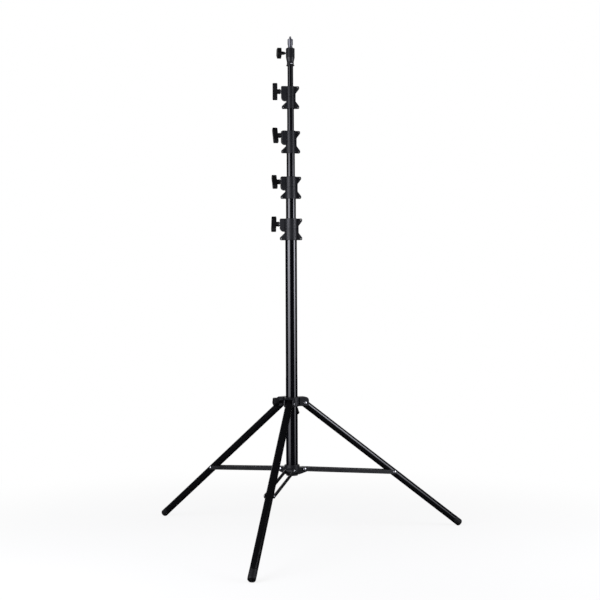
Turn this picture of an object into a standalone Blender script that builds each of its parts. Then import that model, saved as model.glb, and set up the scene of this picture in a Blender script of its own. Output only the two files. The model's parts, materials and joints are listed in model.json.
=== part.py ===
"""Heavy duty light stand, 1.49 m as it stands here and about 3.5 m with every riser out.

A base tube with four telescoping risers stands on three folding legs. Each leg hangs from a spider
that slides on the base tube, and a pair of flat braces ties it to a collar at the tube's foot.
The front leg points along -Y, the floor is z = 0, and the origin is the middle of the footprint,
so the column stands a little behind it.
"""

import math

import bmesh
import bpy

# Column tubes, from the base tube up to riser 4
TUBE_DIAMETERS = (0.0350, 0.0300, 0.0250, 0.0205, 0.0170)
TUBE_WALL = 0.0011
BASE_TUBE_LENGTH = 0.7154
FIRST_RISER_BEYOND_BASE = 0.0346
RISER_LENGTH_STEP = 0.0100
REST_EXTENSIONS = (0.0585, 0.0692, 0.0651, 0.0607)

# Gaps between pieces that touch, and between pieces that slide
SEAT_GAP = 0.0003
RUNNING_GAP = 0.0004

# Clamp collars, from the base tube's up to riser 3's
COLLAR_HEIGHTS = (0.0642, 0.0658, 0.0666, 0.0669)
COLLAR_WALL = 0.0022
COLLAR_SEAT_DEPTH = 0.0230
COLLAR_GROOVE_BELOW_TOP = 0.0305
COLLAR_GROOVE_WIDTH = 0.0018
COLLAR_GROOVE_DEPTH = 0.0009
HOUSING_REACHES = (0.0135, 0.0135, 0.0135, 0.0155)
HOUSING_HEIGHTS = (0.0388, 0.0408, 0.0415, 0.0433)
HOUSING_WIDTH = 0.0190
HOUSING_LOW_CORNER = 0.0110
HOUSING_TOP_CORNER = 0.0035
EAR_REACH = 0.0136
EAR_HEIGHT = 0.0218
EAR_TIP_WIDTH = 0.0078
EAR_THICKNESS = 0.0070
EAR_CORNER_RADIUS = 0.0036
EAR_HOLE_RADIUS = 0.0011
RIB_REACH = 0.0030
CLAMP_AXES_BELOW_TOP = (0.0162, 0.0157, 0.0142, 0.0153)
CLAMP_AZIMUTHS = (188.0, 198.0, 202.0, 191.0)

# Clamp screws, brake shoes and T-knobs
SCREW_RADIUS = 0.0040
SCREW_COLLAR_RADIUS = 0.0062
SCREW_COLLAR_THICKNESS = 0.0020
SCREW_IN_KNOB = 0.0080
SHOE_RADIUS = 0.0060
SHOE_LENGTH = 0.0050
KNOB_NECK_RADIUS = 0.0077
KNOB_NECK_LENGTH = 0.0080
KNOB_BAR_LENGTH = 0.0505
KNOB_BAR_WIDTH = 0.0160
KNOB_BAR_THICKNESS = 0.0145
KNOB_BAR_CORNER = 0.0064
KNOB_EDGE_RADIUS = 0.0022
KNOB_TURNS = (31.0, 42.0, 27.0, 4.0)

# Plastic plugs at the lower ends of the tubes
PLUG_FLANGE_LENGTH = 0.0100
PLUG_STEM_LENGTH = 0.0120
PLUG_AIR_HOLE_RADIUS = 0.0015
BASE_PLUG_FLANGE_LENGTH = 0.0037

# Spigot socket on riser 4
SOCKET_LENGTH = 0.0522
SOCKET_RADIUS = 0.0131
SOCKET_TOP_EDGE = 0.0020
SOCKET_NECK_RADIUS = 0.0104
SOCKET_NECK_TOP = 0.0120
SOCKET_TAPER_TOP = 0.0242
SOCKET_LIP_RADIUS = 0.0122
SOCKET_LIP_HEIGHT = 0.0026
SOCKET_TUBE_DEPTH = 0.0220
SOCKET_SPIGOT_DEPTH = 0.0280
SOCKET_KNOB_HEIGHT = 0.0372
SOCKET_KNOB_AZIMUTH = 200.0
SOCKET_SCREW_RADIUS = 0.0030
SOCKET_SCREW_REACH = 0.0170
SOCKET_RECESS_WIDTH = 0.0080
SOCKET_RECESS_HEIGHT = 0.0150
SOCKET_RECESS_DEPTH = 0.0008
SOCKET_RECESS_AZIMUTH = 296.0
CROSS_PIN_RADIUS = 0.0025
CROSS_PIN_HEIGHT = 0.0066
CROSS_PIN_AZIMUTH = 299.0

# Reversible top spigot
SPIGOT_RADIUS = 0.0080
SPIGOT_ABOVE_SOCKET = 0.0278
SPIGOT_GROOVE_RADIUS = 0.0066
SPIGOT_GROOVE_LOW = 0.0020
SPIGOT_GROOVE_HIGH = 0.0100
SPIGOT_GROOVE_SLOPE = 0.0015
SPIGOT_EDGE = 0.0018
STUD_RADIUS = 0.0031
STUD_LENGTH = 0.0070
LOWER_STUD_RADIUS = 0.0047
LOWER_STUD_LENGTH = 0.0080

# Lobed knobs on the socket and on the spider
LOBE_COUNT = 5
LOBE_DEPTH = 0.0025
SOCKET_KNOB_RADIUS = 0.0166
SOCKET_KNOB_THICKNESS = 0.0124
SOCKET_KNOB_HUB = 0.0105
SPIDER_KNOB_RADIUS = 0.0146
SPIDER_KNOB_THICKNESS = 0.0110
SPIDER_KNOB_HUB = 0.0070
LOBED_HUB_RADIUS = 0.0056
LOBED_EDGE_RADIUS = 0.0018

# Legs, hanging from the spider
LEG_AZIMUTHS = {"front": 270.0, "right": 30.0, "left": 150.0}
LEG_DIAMETER = 0.0220
LEG_WALL = 0.0012
LEG_LENGTH = 0.6485
LEG_TILT = 52.65
LEG_BEYOND_PIVOT = 0.0080
FOOT_TIP_LENGTH = 0.0280
FOOT_TIP_RADIUS = 0.0112
FOOT_TIP_EDGE = 0.0042
FOOT_STEM_LENGTH = 0.0250
SOLE_CUT = 0.0008

# Spider, the sliding collar with the leg clevises
SPIDER_PIVOT_RADIUS = 0.0380
SPIDER_ABOVE_PIVOT = 0.0186
SPIDER_BELOW_PIVOT = 0.0090
SPIDER_HUB_WALL = 0.0046
CLEVIS_REACH = 0.0510
CLEVIS_CHEEK = 0.0030
CLEVIS_ROOF = 0.0030
CLEVIS_TOP_CORNER = 0.0110
CLEVIS_LOW_CORNER = 0.0070
LOCK_AZIMUTH = 90.0
LOCK_BELOW_PIVOT = 0.0297
LOCK_BOSS_REACH = 0.0300
LOCK_BOSS_WIDTH = 0.0170
LOCK_BOSS_BELOW_AXIS = 0.0090

# Lower collar and the flat braces
PIVOT_SPACING = 0.1962
BRACE_PIVOT_RADIUS = 0.0350
BRACE_JOINT_ALONG_LEG = 0.3636
BRACE_HEIGHT = 0.0120
BRACE_CORNER = 0.0058
BRACE_THICKNESS = 0.0022
BRACE_SIDE_GAP = 0.0004
LOWER_ABOVE_PIVOT = 0.0141
LOWER_RING_BELOW_PIVOT = 0.0078
LOWER_RING_RADIUS = 0.0226
BASE_TUBE_BELOW_PIVOT = 0.0176
TONGUE_ABOVE_PIVOT = 0.0062
TONGUE_BELOW_PIVOT = 0.0068
TONGUE_BEYOND_PIVOT = 0.0110
TONGUE_ROOT_DROP = 0.0148
TONGUE_ROOT_REACH = 0.0195
TONGUE_CORNER = 0.0060
TONGUE_SIDE_GAP = 0.0005

# Rivets
RIVET_RADIUS = 0.0030
RIVET_HEAD_RADIUS = 0.0048
RIVET_HEAD_HEIGHT = 0.0018
RIVET_HEAD_RIM = 0.0006
RIVET_HEAD_CROWN = 0.0030

# Facets of round shapes
TUBE_SIDES = 24
KNOB_SIDES = 16
SMALL_SIDES = 12
CORNER_STEPS = 4
LOBE_STEPS = 8

# Colours as (red, green, blue), roughness, metallic
GLOSS_BLACK = ((0.012, 0.013, 0.016), 0.22, 0.0)
SATIN_BLACK = ((0.010, 0.010, 0.011), 0.38, 0.0)
CHARCOAL = ((0.040, 0.041, 0.045), 0.45, 0.0)
MATTE_BLACK = ((0.013, 0.013, 0.013), 0.62, 0.0)
RUBBER_BLACK = ((0.022, 0.022, 0.022), 0.80, 0.0)
NYLON_GREY = ((0.120, 0.120, 0.120), 0.60, 0.0)
STEEL = ((0.560, 0.560, 0.570), 0.32, 1.0)
CHROME = ((0.720, 0.720, 0.740), 0.12, 1.0)

EDGE_ON = (math.pi / 2, 0.0, 0.0)
OUTWARD = (0.0, math.pi / 2, 0.0)
ALONG_HINGE = (-math.pi / 2, 0.0, 0.0)


def clear_scene():
    for obj in list(bpy.data.objects):
        bpy.data.objects.remove(obj)


def make_collection(name):
    collection = bpy.data.collections.new(name)
    bpy.context.scene.collection.children.link(collection)
    return collection


clear_scene()
PARTS = make_collection("light_stand")
CUTTERS = make_collection("cutters")


# Scene helpers


def frame_empty(name, parent=None, location=(0.0, 0.0, 0.0), rotation=(0.0, 0.0, 0.0)):
    """An empty that carries the pieces of one moving body, or one joint's place on it."""
    empty = bpy.data.objects.new(name, None)
    empty.empty_display_size = 0.02
    PARTS.objects.link(empty)
    return place(empty, parent, location, rotation)


def place(obj, parent, location=(0.0, 0.0, 0.0), rotation=(0.0, 0.0, 0.0)):
    obj.parent = parent
    obj.location = location
    obj.rotation_euler = rotation
    return obj


def as_piece(obj, name, finish):
    """Names a finished piece, files it with the parts and gives it its own material."""
    colour, roughness, metallic = finish
    obj.name = name
    obj.data.name = name
    PARTS.objects.link(obj)
    material = bpy.data.materials.new(name)
    material.use_nodes = True
    shader = material.node_tree.nodes["Principled BSDF"]
    shader.inputs["Base Color"].default_value = (*colour, 1.0)
    shader.inputs["Roughness"].default_value = roughness
    shader.inputs["Metallic"].default_value = metallic
    obj.data.materials.append(material)
    return obj


def as_tool(obj, name):
    """Files a shape that only cuts or joins another."""
    obj.name = name
    obj.data.name = name
    obj.hide_render = True
    obj.display_type = "WIRE"
    CUTTERS.objects.link(obj)
    return obj


def boolean(obj, other, operation):
    modifier = obj.modifiers.new(other.name, "BOOLEAN")
    modifier.operation = operation
    modifier.object = other


def cut(obj, tool):
    boolean(obj, tool, "DIFFERENCE")


def join(obj, tool):
    boolean(obj, tool, "UNION")


def mesh_object(name, shape):
    mesh = bpy.data.meshes.new(name)
    shape.to_mesh(mesh)
    shape.free()
    return bpy.data.objects.new(name, mesh)


# Shapes


def polar(radius, degrees, height=0.0):
    angle = math.radians(degrees)
    return (radius * math.cos(angle), radius * math.sin(angle), height)


def turned(profile, sides=TUBE_SIDES):
    """A solid of revolution about Z. The (radius, height) profile runs down its outer side."""
    shape = bmesh.new()
    points = [shape.verts.new((radius, 0.0, height)) for radius, height in profile]
    for start, end in zip(points, points[1:]):
        shape.edges.new((start, end))
    if profile[0][0] > 0.0:
        shape.edges.new((points[-1], points[0]))
    obj = mesh_object("turned", shape)
    screw = obj.modifiers.new("Screw", "SCREW")
    screw.steps = sides
    screw.render_steps = sides
    screw.use_merge_vertices = True
    screw.merge_threshold = 0.00001
    screw.use_smooth_shade = True
    return obj


def rod(radius, low, high, sides=SMALL_SIDES):
    """A plain cylinder on Z from low to high."""
    shape = bmesh.new()
    bmesh.ops.create_cone(
        shape, cap_ends=True, segments=sides, radius1=radius, radius2=radius, depth=high - low
    )
    bmesh.ops.translate(shape, verts=shape.verts, vec=(0.0, 0.0, (low + high) / 2))
    return mesh_object("rod", shape)


def box(low, high):
    shape = bmesh.new()
    bmesh.ops.create_cube(shape, size=1.0)
    size = [top - bottom for bottom, top in zip(low, high)]
    middle = [(top + bottom) / 2 for bottom, top in zip(low, high)]
    bmesh.ops.scale(shape, verts=shape.verts, vec=size)
    bmesh.ops.translate(shape, verts=shape.verts, vec=middle)
    return mesh_object("box", shape)


def rounded_outline(corners, steps=CORNER_STEPS):
    """The points of an outline whose corners are (x, y, radius)."""
    points = []
    count = len(corners)
    for index, (x, y, radius) in enumerate(corners):
        if radius <= 0.0:
            points.append((x, y))
            continue
        before = corners[index - 1]
        after = corners[(index + 1) % count]
        inward = math.atan2(before[1] - y, before[0] - x)
        outward = math.atan2(after[1] - y, after[0] - x)
        opening = (outward - inward + math.pi) % (2 * math.pi) - math.pi
        half = abs(opening) / 2
        middle = inward + opening / 2
        reach = radius / math.sin(half)
        centre = (x + reach * math.cos(middle), y + reach * math.sin(middle))
        sweep = math.copysign(math.pi - abs(opening), opening)
        start = middle + math.pi + sweep / 2
        for step in range(steps + 1):
            angle = start - sweep * step / steps
            points.append(
                (centre[0] + radius * math.cos(angle), centre[1] + radius * math.sin(angle))
            )
    return points


def circle_outline(x, y, radius, sides=SMALL_SIDES):
    turns = [2 * math.pi * index / sides for index in range(sides)]
    return [(x + radius * math.cos(turn), y + radius * math.sin(turn)) for turn in turns]


def plate(outlines, thickness):
    """A flat plate in local XY, centred on it. Outlines inside the first one are holes."""
    curve = bpy.data.curves.new("plate", "CURVE")
    curve.dimensions = "2D"
    curve.fill_mode = "BOTH"
    curve.extrude = thickness / 2
    for outline in outlines:
        spline = curve.splines.new("POLY")
        spline.points.add(len(outline) - 1)
        for point, (x, y) in zip(spline.points, outline):
            point.co = (x, y, 0.0, 1.0)
        spline.use_cyclic_u = True
    guide = bpy.data.objects.new("plate", curve)
    CUTTERS.objects.link(guide)
    graph = bpy.context.evaluated_depsgraph_get()
    mesh = bpy.data.meshes.new_from_object(guide.evaluated_get(graph))
    bpy.data.objects.remove(guide)
    bpy.data.curves.remove(curve)
    shape = bmesh.new()
    shape.from_mesh(mesh)
    bpy.data.meshes.remove(mesh)
    bmesh.ops.remove_doubles(shape, verts=shape.verts, dist=0.000001)
    bmesh.ops.recalc_face_normals(shape, faces=shape.faces)
    return mesh_object("plate", shape)


def round_edges(obj, width, segments=2, angle=40.0):
    bevel = obj.modifiers.new("Bevel", "BEVEL")
    bevel.width = width
    bevel.segments = segments
    bevel.limit_method = "ANGLE"
    bevel.angle_limit = math.radians(angle)


# Sizes that follow from the driving ones


def tube_radius(level):
    return TUBE_DIAMETERS[level] / 2


def tube_bore(level):
    return tube_radius(level) - TUBE_WALL


def collar_radius(level):
    return tube_radius(level) + COLLAR_WALL


def housing_reach(level):
    return collar_radius(level) + HOUSING_REACHES[level]


def riser_length(level):
    """Each riser is a little shorter than the one it slides in."""
    return BASE_TUBE_LENGTH + FIRST_RISER_BEYOND_BASE - (level - 1) * RISER_LENGTH_STEP


def fold_sizes():
    """Leg and brace places in the plane of one leg, as radius and height above the floor."""
    tilt = math.radians(LEG_TILT)
    edge_along = LEG_LENGTH - FOOT_TIP_EDGE
    edge_across = FOOT_TIP_RADIUS - FOOT_TIP_EDGE
    pivot_height = edge_along * math.cos(tilt) + edge_across * math.sin(tilt)
    pivot_height += FOOT_TIP_EDGE - SOLE_CUT
    lower_height = pivot_height - PIVOT_SPACING
    joint_radius = SPIDER_PIVOT_RADIUS + BRACE_JOINT_ALONG_LEG * math.sin(tilt)
    joint_height = pivot_height - BRACE_JOINT_ALONG_LEG * math.cos(tilt)
    run = joint_radius - BRACE_PIVOT_RADIUS
    drop = lower_height - joint_height
    return {
        "pivot_height": pivot_height,
        "lower_height": lower_height,
        "brace_length": math.hypot(run, drop),
        "brace_slope": math.atan2(drop, run),
    }


def foot_reach(turn):
    """How far a foot reaches from the column, level, at this angle in degrees from its leg."""
    outward = math.cos(math.radians(turn))
    along = math.sin(math.radians(LEG_TILT)) * outward
    across = math.sqrt(1 - along**2)
    reach = SPIDER_PIVOT_RADIUS * outward + FOOT_TIP_EDGE
    return reach + (LEG_LENGTH - FOOT_TIP_EDGE) * along + (FOOT_TIP_RADIUS - FOOT_TIP_EDGE) * across


FOLD = fold_sizes()
COLUMN_PLACE = (0.0, (foot_reach(0.0) - foot_reach(60.0)) / 2, 0.0)
COLUMN_LOWEST = FOLD["lower_height"] - BASE_TUBE_BELOW_PIVOT
BASE_TUBE_FOOT = COLUMN_LOWEST + BASE_PLUG_FLANGE_LENGTH + SEAT_GAP


def column_heights():
    """Height of each collar's foot, and of the socket's, with the risers out by their rest extensions."""
    feet = [BASE_TUBE_FOOT + BASE_TUBE_LENGTH + SEAT_GAP - COLLAR_SEAT_DEPTH]
    for height, extension in zip(COLLAR_HEIGHTS, REST_EXTENSIONS):
        feet.append(feet[-1] + height + extension)
    return feet


COLUMN_FEET = column_heights()
BRACE_INNER_FACE = FOOT_TIP_RADIUS + BRACE_SIDE_GAP
BRACE_OUTER_FACE = BRACE_INNER_FACE + BRACE_THICKNESS
CLEVIS_INNER_FACE = LEG_DIAMETER / 2 + RUNNING_GAP
CLEVIS_OUTER_FACE = CLEVIS_INNER_FACE + CLEVIS_CHEEK
HUB_BORE = tube_radius(0) + RUNNING_GAP
HUB_RADIUS = HUB_BORE + SPIDER_HUB_WALL
HOLE_RADIUS = RIVET_RADIUS + SEAT_GAP


# Column


def make_tube(name, level, length, parent, top):
    outer = tube_radius(level)
    inner = tube_bore(level)
    profile = [(outer, 0.0), (outer, -length), (inner, -length), (inner, 0.0)]
    tube = as_piece(turned(profile), name, GLOSS_BLACK)
    return place(tube, parent, (0.0, 0.0, top))


def make_riser_plug(level, parent, tube_foot):
    """The guide plug under a riser: a flange that runs in the tube below, and a stem in its own."""
    flange = tube_bore(level - 1) - SEAT_GAP
    stem = tube_bore(level) - SEAT_GAP
    profile = [
        (stem, PLUG_STEM_LENGTH),
        (stem, -SEAT_GAP),
        (flange, -SEAT_GAP),
        (flange, -SEAT_GAP - PLUG_FLANGE_LENGTH),
        (PLUG_AIR_HOLE_RADIUS, -SEAT_GAP - PLUG_FLANGE_LENGTH),
        (PLUG_AIR_HOLE_RADIUS, PLUG_STEM_LENGTH),
    ]
    plug = as_piece(turned(profile, KNOB_SIDES), f"riser_{level}_guide_plug", NYLON_GREY)
    return place(plug, parent, (0.0, 0.0, tube_foot))


def make_base_plug(parent):
    flange = tube_radius(0)
    stem = tube_bore(0) - SEAT_GAP
    profile = [
        (stem, SEAT_GAP + PLUG_STEM_LENGTH),
        (stem, 0.0),
        (flange, 0.0),
        (flange, -BASE_PLUG_FLANGE_LENGTH),
        (PLUG_AIR_HOLE_RADIUS, -BASE_PLUG_FLANGE_LENGTH),
        (PLUG_AIR_HOLE_RADIUS, SEAT_GAP + PLUG_STEM_LENGTH),
    ]
    plug = as_piece(turned(profile), "base_plug", MATTE_BLACK)
    return place(plug, parent, (0.0, 0.0, BASE_TUBE_FOOT - SEAT_GAP))


def ear_inner(level):
    """Where an ear's plate starts, half way through the sleeve's wall."""
    return tube_radius(level) + SEAT_GAP + (COLLAR_WALL - SEAT_GAP) / 2


def ear_hole(level, edge, away):
    centre = collar_radius(level) + EAR_REACH - EAR_TIP_WIDTH / 2
    return circle_outline(centre, edge + away * EAR_TIP_WIDTH / 2, EAR_HOLE_RADIUS)


def near_ear(level):
    """The triangular ear low on the screw's side."""
    inner = ear_inner(level)
    outer = collar_radius(level) + EAR_REACH
    outline = rounded_outline(
        [
            (inner, 0.0, 0.0),
            (outer, 0.0, EAR_CORNER_RADIUS),
            (outer, EAR_TIP_WIDTH, EAR_CORNER_RADIUS),
            (inner, EAR_HEIGHT, 0.0),
        ]
    )
    return plate([outline, ear_hole(level, 0.0, 1)], EAR_THICKNESS)


def far_ears(level):
    """The web on the far side: an ear at each end and a rib between them."""
    height = COLLAR_HEIGHTS[level]
    inner = ear_inner(level)
    rib = collar_radius(level) + RIB_REACH
    outer = collar_radius(level) + EAR_REACH
    tip = EAR_TIP_WIDTH
    outline = rounded_outline(
        [
            (inner, 0.0, 0.0),
            (outer, 0.0, EAR_CORNER_RADIUS),
            (outer, tip, EAR_CORNER_RADIUS),
            (rib, EAR_HEIGHT, EAR_CORNER_RADIUS),
            (rib, height - EAR_HEIGHT, EAR_CORNER_RADIUS),
            (outer, height - tip, EAR_CORNER_RADIUS),
            (outer, height, EAR_CORNER_RADIUS),
            (inner, height, 0.0),
        ]
    )
    holes = [ear_hole(level, 0.0, 1), ear_hole(level, height, -1)]
    flipped = [[(-x, z) for x, z in points] for points in [outline] + holes]
    return plate(flipped, EAR_THICKNESS)


def make_collar(level, name, parent):
    """A clamp collar: it sits on one tube's upper end, guides the next and holds the clamp screw."""
    height = COLLAR_HEIGHTS[level]
    azimuth = math.radians(CLAMP_AZIMUTHS[level])
    foot = (0.0, 0.0, COLUMN_FEET[level])
    outer = collar_radius(level)
    seat = tube_radius(level) + SEAT_GAP
    guide = tube_radius(level + 1) + RUNNING_GAP
    groove_top = height - COLLAR_GROOVE_BELOW_TOP
    groove_low = groove_top - COLLAR_GROOVE_WIDTH
    waist = outer - COLLAR_GROOVE_DEPTH
    profile = [
        (outer, height),
        (outer, groove_top),
        (waist, groove_top),
        (waist, groove_low),
        (outer, groove_low),
        (outer, 0.0),
        (seat, 0.0),
        (seat, COLLAR_SEAT_DEPTH),
        (guide, COLLAR_SEAT_DEPTH),
        (guide, height),
    ]
    collar = as_piece(turned(profile), name, CHARCOAL)
    place(collar, parent, foot, (0.0, 0.0, azimuth))

    face = housing_reach(level)
    core = guide + (outer - guide) / 2
    outline = rounded_outline(
        [
            (core, height, 0.0),
            (core, height - HOUSING_HEIGHTS[level], 0.0),
            (face, height - HOUSING_HEIGHTS[level], HOUSING_LOW_CORNER),
            (face, height, HOUSING_TOP_CORNER),
        ]
    )
    flat = (math.pi / 2, 0.0, azimuth)
    housing = as_tool(plate([outline], HOUSING_WIDTH), f"{name}_housing")
    join(collar, place(housing, parent, foot, flat))
    join(collar, place(as_tool(near_ear(level), f"{name}_near_ear"), parent, foot, flat))
    join(collar, place(as_tool(far_ears(level), f"{name}_far_ears"), parent, foot, flat))

    axis_foot = (0.0, 0.0, clamp_height(level))
    across = (0.0, math.pi / 2, azimuth)
    shoe_back = tube_radius(level + 1) + SEAT_GAP + SHOE_LENGTH
    pocket = rod(SHOE_RADIUS + SEAT_GAP, 0.0, shoe_back + SEAT_GAP, KNOB_SIDES)
    cut(collar, place(as_tool(pocket, f"{name}_shoe_pocket"), parent, axis_foot, across))
    bore = rod(SCREW_RADIUS + SEAT_GAP, shoe_back, face + COLLAR_WALL)
    cut(collar, place(as_tool(bore, f"{name}_screw_bore"), parent, axis_foot, across))
    return collar


def clamp_height(level):
    return COLUMN_FEET[level] + COLLAR_HEIGHTS[level] - CLAMP_AXES_BELOW_TOP[level]


def make_shoe(level, name, parent):
    """The brake shoe that the screw presses on the riser, hollowed to the riser's radius."""
    azimuth = math.radians(CLAMP_AZIMUTHS[level])
    height = clamp_height(level)
    hollow = tube_radius(level + 1) + SEAT_GAP
    start = math.sqrt(hollow**2 - SHOE_RADIUS**2)
    shoe = as_piece(rod(SHOE_RADIUS, start, hollow + SHOE_LENGTH, KNOB_SIDES), name, NYLON_GREY)
    place(shoe, parent, (0.0, 0.0, height), (0.0, math.pi / 2, azimuth))
    hollower = rod(hollow, -2 * SHOE_RADIUS, 2 * SHOE_RADIUS, TUBE_SIDES * 2)
    cut(shoe, place(as_tool(hollower, f"{name}_hollow"), parent, (0.0, 0.0, height)))
    return shoe


def knob_seat(face):
    """Where a knob's back lies, with the screw's thrust collar between it and the casting's face."""
    return face + SEAT_GAP + SCREW_COLLAR_THICKNESS + SEAT_GAP


def make_clamp_screw(name, parent, tip, face):
    """A screw along local Z with a thrust collar between the casting's face and the knob."""
    end = knob_seat(face) + SCREW_IN_KNOB
    thrust_low = face + SEAT_GAP
    thrust_high = thrust_low + SCREW_COLLAR_THICKNESS
    profile = [
        (0.0, end),
        (SCREW_RADIUS, end),
        (SCREW_RADIUS, thrust_high),
        (SCREW_COLLAR_RADIUS, thrust_high),
        (SCREW_COLLAR_RADIUS, thrust_low),
        (SCREW_RADIUS, thrust_low),
        (SCREW_RADIUS, tip),
        (0.0, tip),
    ]
    screw = as_piece(turned(profile, SMALL_SIDES), name, STEEL)
    return place(screw, parent)


def make_t_knob(name, parent, back, turn):
    """A moulded T-handle: an oblong bar across a round neck, with a blind bore for its screw."""
    bar_low = back + KNOB_NECK_LENGTH
    half_length = KNOB_BAR_LENGTH / 2
    half_width = KNOB_BAR_WIDTH / 2
    corner = KNOB_BAR_CORNER
    outline = rounded_outline(
        [
            (-half_length, -half_width, corner),
            (half_length, -half_width, corner),
            (half_length, half_width, corner),
            (-half_length, half_width, corner),
        ]
    )
    knob = as_piece(plate([outline], KNOB_BAR_THICKNESS), name, MATTE_BLACK)
    round_edges(knob, KNOB_EDGE_RADIUS)
    # The bar turns about the screw: at turn 0 it stands upright.
    centre = bar_low + KNOB_BAR_THICKNESS / 2
    place(knob, parent, (0.0, 0.0, centre), (0.0, 0.0, math.radians(turn)))
    overlap = KNOB_BAR_THICKNESS / 2
    neck = as_tool(rod(KNOB_NECK_RADIUS, back, bar_low + overlap, KNOB_SIDES), f"{name}_neck")
    join(knob, place(neck, parent))
    bore_end = back + SCREW_IN_KNOB + SEAT_GAP
    bore = rod(SCREW_RADIUS + SEAT_GAP, back - SCREW_IN_KNOB, bore_end)
    cut(knob, place(as_tool(bore, f"{name}_bore"), parent))
    return knob


def make_lobed_knob(name, parent, back, hub_length, radius, thickness, screw_radius):
    """A round knob with shallow lobes, on a short hub with a blind bore for its screw."""
    outline = []
    steps = LOBE_COUNT * LOBE_STEPS
    for step in range(steps):
        turn = 2 * math.pi * step / steps
        reach = radius - LOBE_DEPTH * (1 - math.cos(LOBE_COUNT * turn)) / 2
        outline.append((reach * math.cos(turn), reach * math.sin(turn)))
    knob = as_piece(plate([outline], thickness), name, MATTE_BLACK)
    round_edges(knob, LOBED_EDGE_RADIUS, 1, 60.0)
    hub_top = back + hub_length + thickness / 2
    place(knob, parent, (0.0, 0.0, hub_top))
    hub = as_tool(rod(LOBED_HUB_RADIUS, back, hub_top, KNOB_SIDES), f"{name}_hub")
    join(knob, place(hub, parent))
    bore = rod(screw_radius + SEAT_GAP, back - SCREW_IN_KNOB, back + SCREW_IN_KNOB + SEAT_GAP)
    cut(knob, place(as_tool(bore, f"{name}_bore"), parent))
    return knob


def make_clamp(level, label, parent):
    """The shoe, screw and T-knob of one collar. The knob's empty lies on the screw's axis."""
    azimuth = math.radians(CLAMP_AZIMUTHS[level])
    height = clamp_height(level)
    make_shoe(level, f"{label}_brake_shoe", parent)
    turning = frame_empty(
        f"{label}_knob_turn", parent, (0.0, 0.0, height), (0.0, math.pi / 2, azimuth)
    )
    face = housing_reach(level)
    shoe_back = tube_radius(level + 1) + SEAT_GAP + SHOE_LENGTH
    make_clamp_screw(f"{label}_clamp_screw", turning, shoe_back + SEAT_GAP, face)
    make_t_knob(f"{label}_t_knob", turning, knob_seat(face), KNOB_TURNS[level])


def make_socket(parent):
    """The spigot socket: riser 4 enters from below and the spigot from above."""
    foot = COLUMN_FEET[4]
    tube_hole = tube_radius(4) + SEAT_GAP
    spigot_hole = SPIGOT_RADIUS + SEAT_GAP
    profile = [
        (SOCKET_RADIUS - SOCKET_TOP_EDGE, SOCKET_LENGTH),
        (SOCKET_RADIUS, SOCKET_LENGTH - SOCKET_TOP_EDGE),
        (SOCKET_RADIUS, SOCKET_TAPER_TOP),
        (SOCKET_NECK_RADIUS, SOCKET_NECK_TOP),
        (SOCKET_NECK_RADIUS, SOCKET_LIP_HEIGHT),
        (SOCKET_LIP_RADIUS, SOCKET_LIP_HEIGHT),
        (SOCKET_LIP_RADIUS, 0.0),
        (tube_hole, 0.0),
        (tube_hole, SOCKET_TUBE_DEPTH),
        (LOWER_STUD_RADIUS + SEAT_GAP, SOCKET_TUBE_DEPTH),
        (LOWER_STUD_RADIUS + SEAT_GAP, SOCKET_LENGTH - SOCKET_SPIGOT_DEPTH),
        (spigot_hole, SOCKET_LENGTH - SOCKET_SPIGOT_DEPTH),
        (spigot_hole, SOCKET_LENGTH),
    ]
    socket = as_piece(turned(profile), "spigot_socket", CHARCOAL)
    place(socket, parent, (0.0, 0.0, foot))

    pin_hole = rod(CROSS_PIN_RADIUS + SEAT_GAP, -2 * SOCKET_RADIUS, 2 * SOCKET_RADIUS)
    pin_turn = (0.0, math.pi / 2, math.radians(CROSS_PIN_AZIMUTH))
    place(as_tool(pin_hole, "cross_pin_hole"), parent, (0.0, 0.0, foot + CROSS_PIN_HEIGHT), pin_turn)
    cut(socket, pin_hole)

    screw_hole = as_tool(rod(SOCKET_SCREW_RADIUS + SEAT_GAP, 0.0, 2 * SOCKET_RADIUS), "screw_hole")
    screw_turn = (0.0, math.pi / 2, math.radians(SOCKET_KNOB_AZIMUTH))
    place(screw_hole, parent, (0.0, 0.0, foot + SOCKET_KNOB_HEIGHT), screw_turn)
    cut(socket, screw_hole)

    recess = as_tool(
        box(
            (SOCKET_RADIUS - SOCKET_RECESS_DEPTH, -SOCKET_RECESS_WIDTH / 2, -SOCKET_RECESS_HEIGHT / 2),
            (2 * SOCKET_RADIUS, SOCKET_RECESS_WIDTH / 2, SOCKET_RECESS_HEIGHT / 2),
        ),
        "socket_recess",
    )
    recess_turn = (0.0, 0.0, math.radians(SOCKET_RECESS_AZIMUTH))
    place(recess, parent, (0.0, 0.0, foot + SOCKET_KNOB_HEIGHT), recess_turn)
    cut(socket, recess)
    return pin_hole


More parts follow.
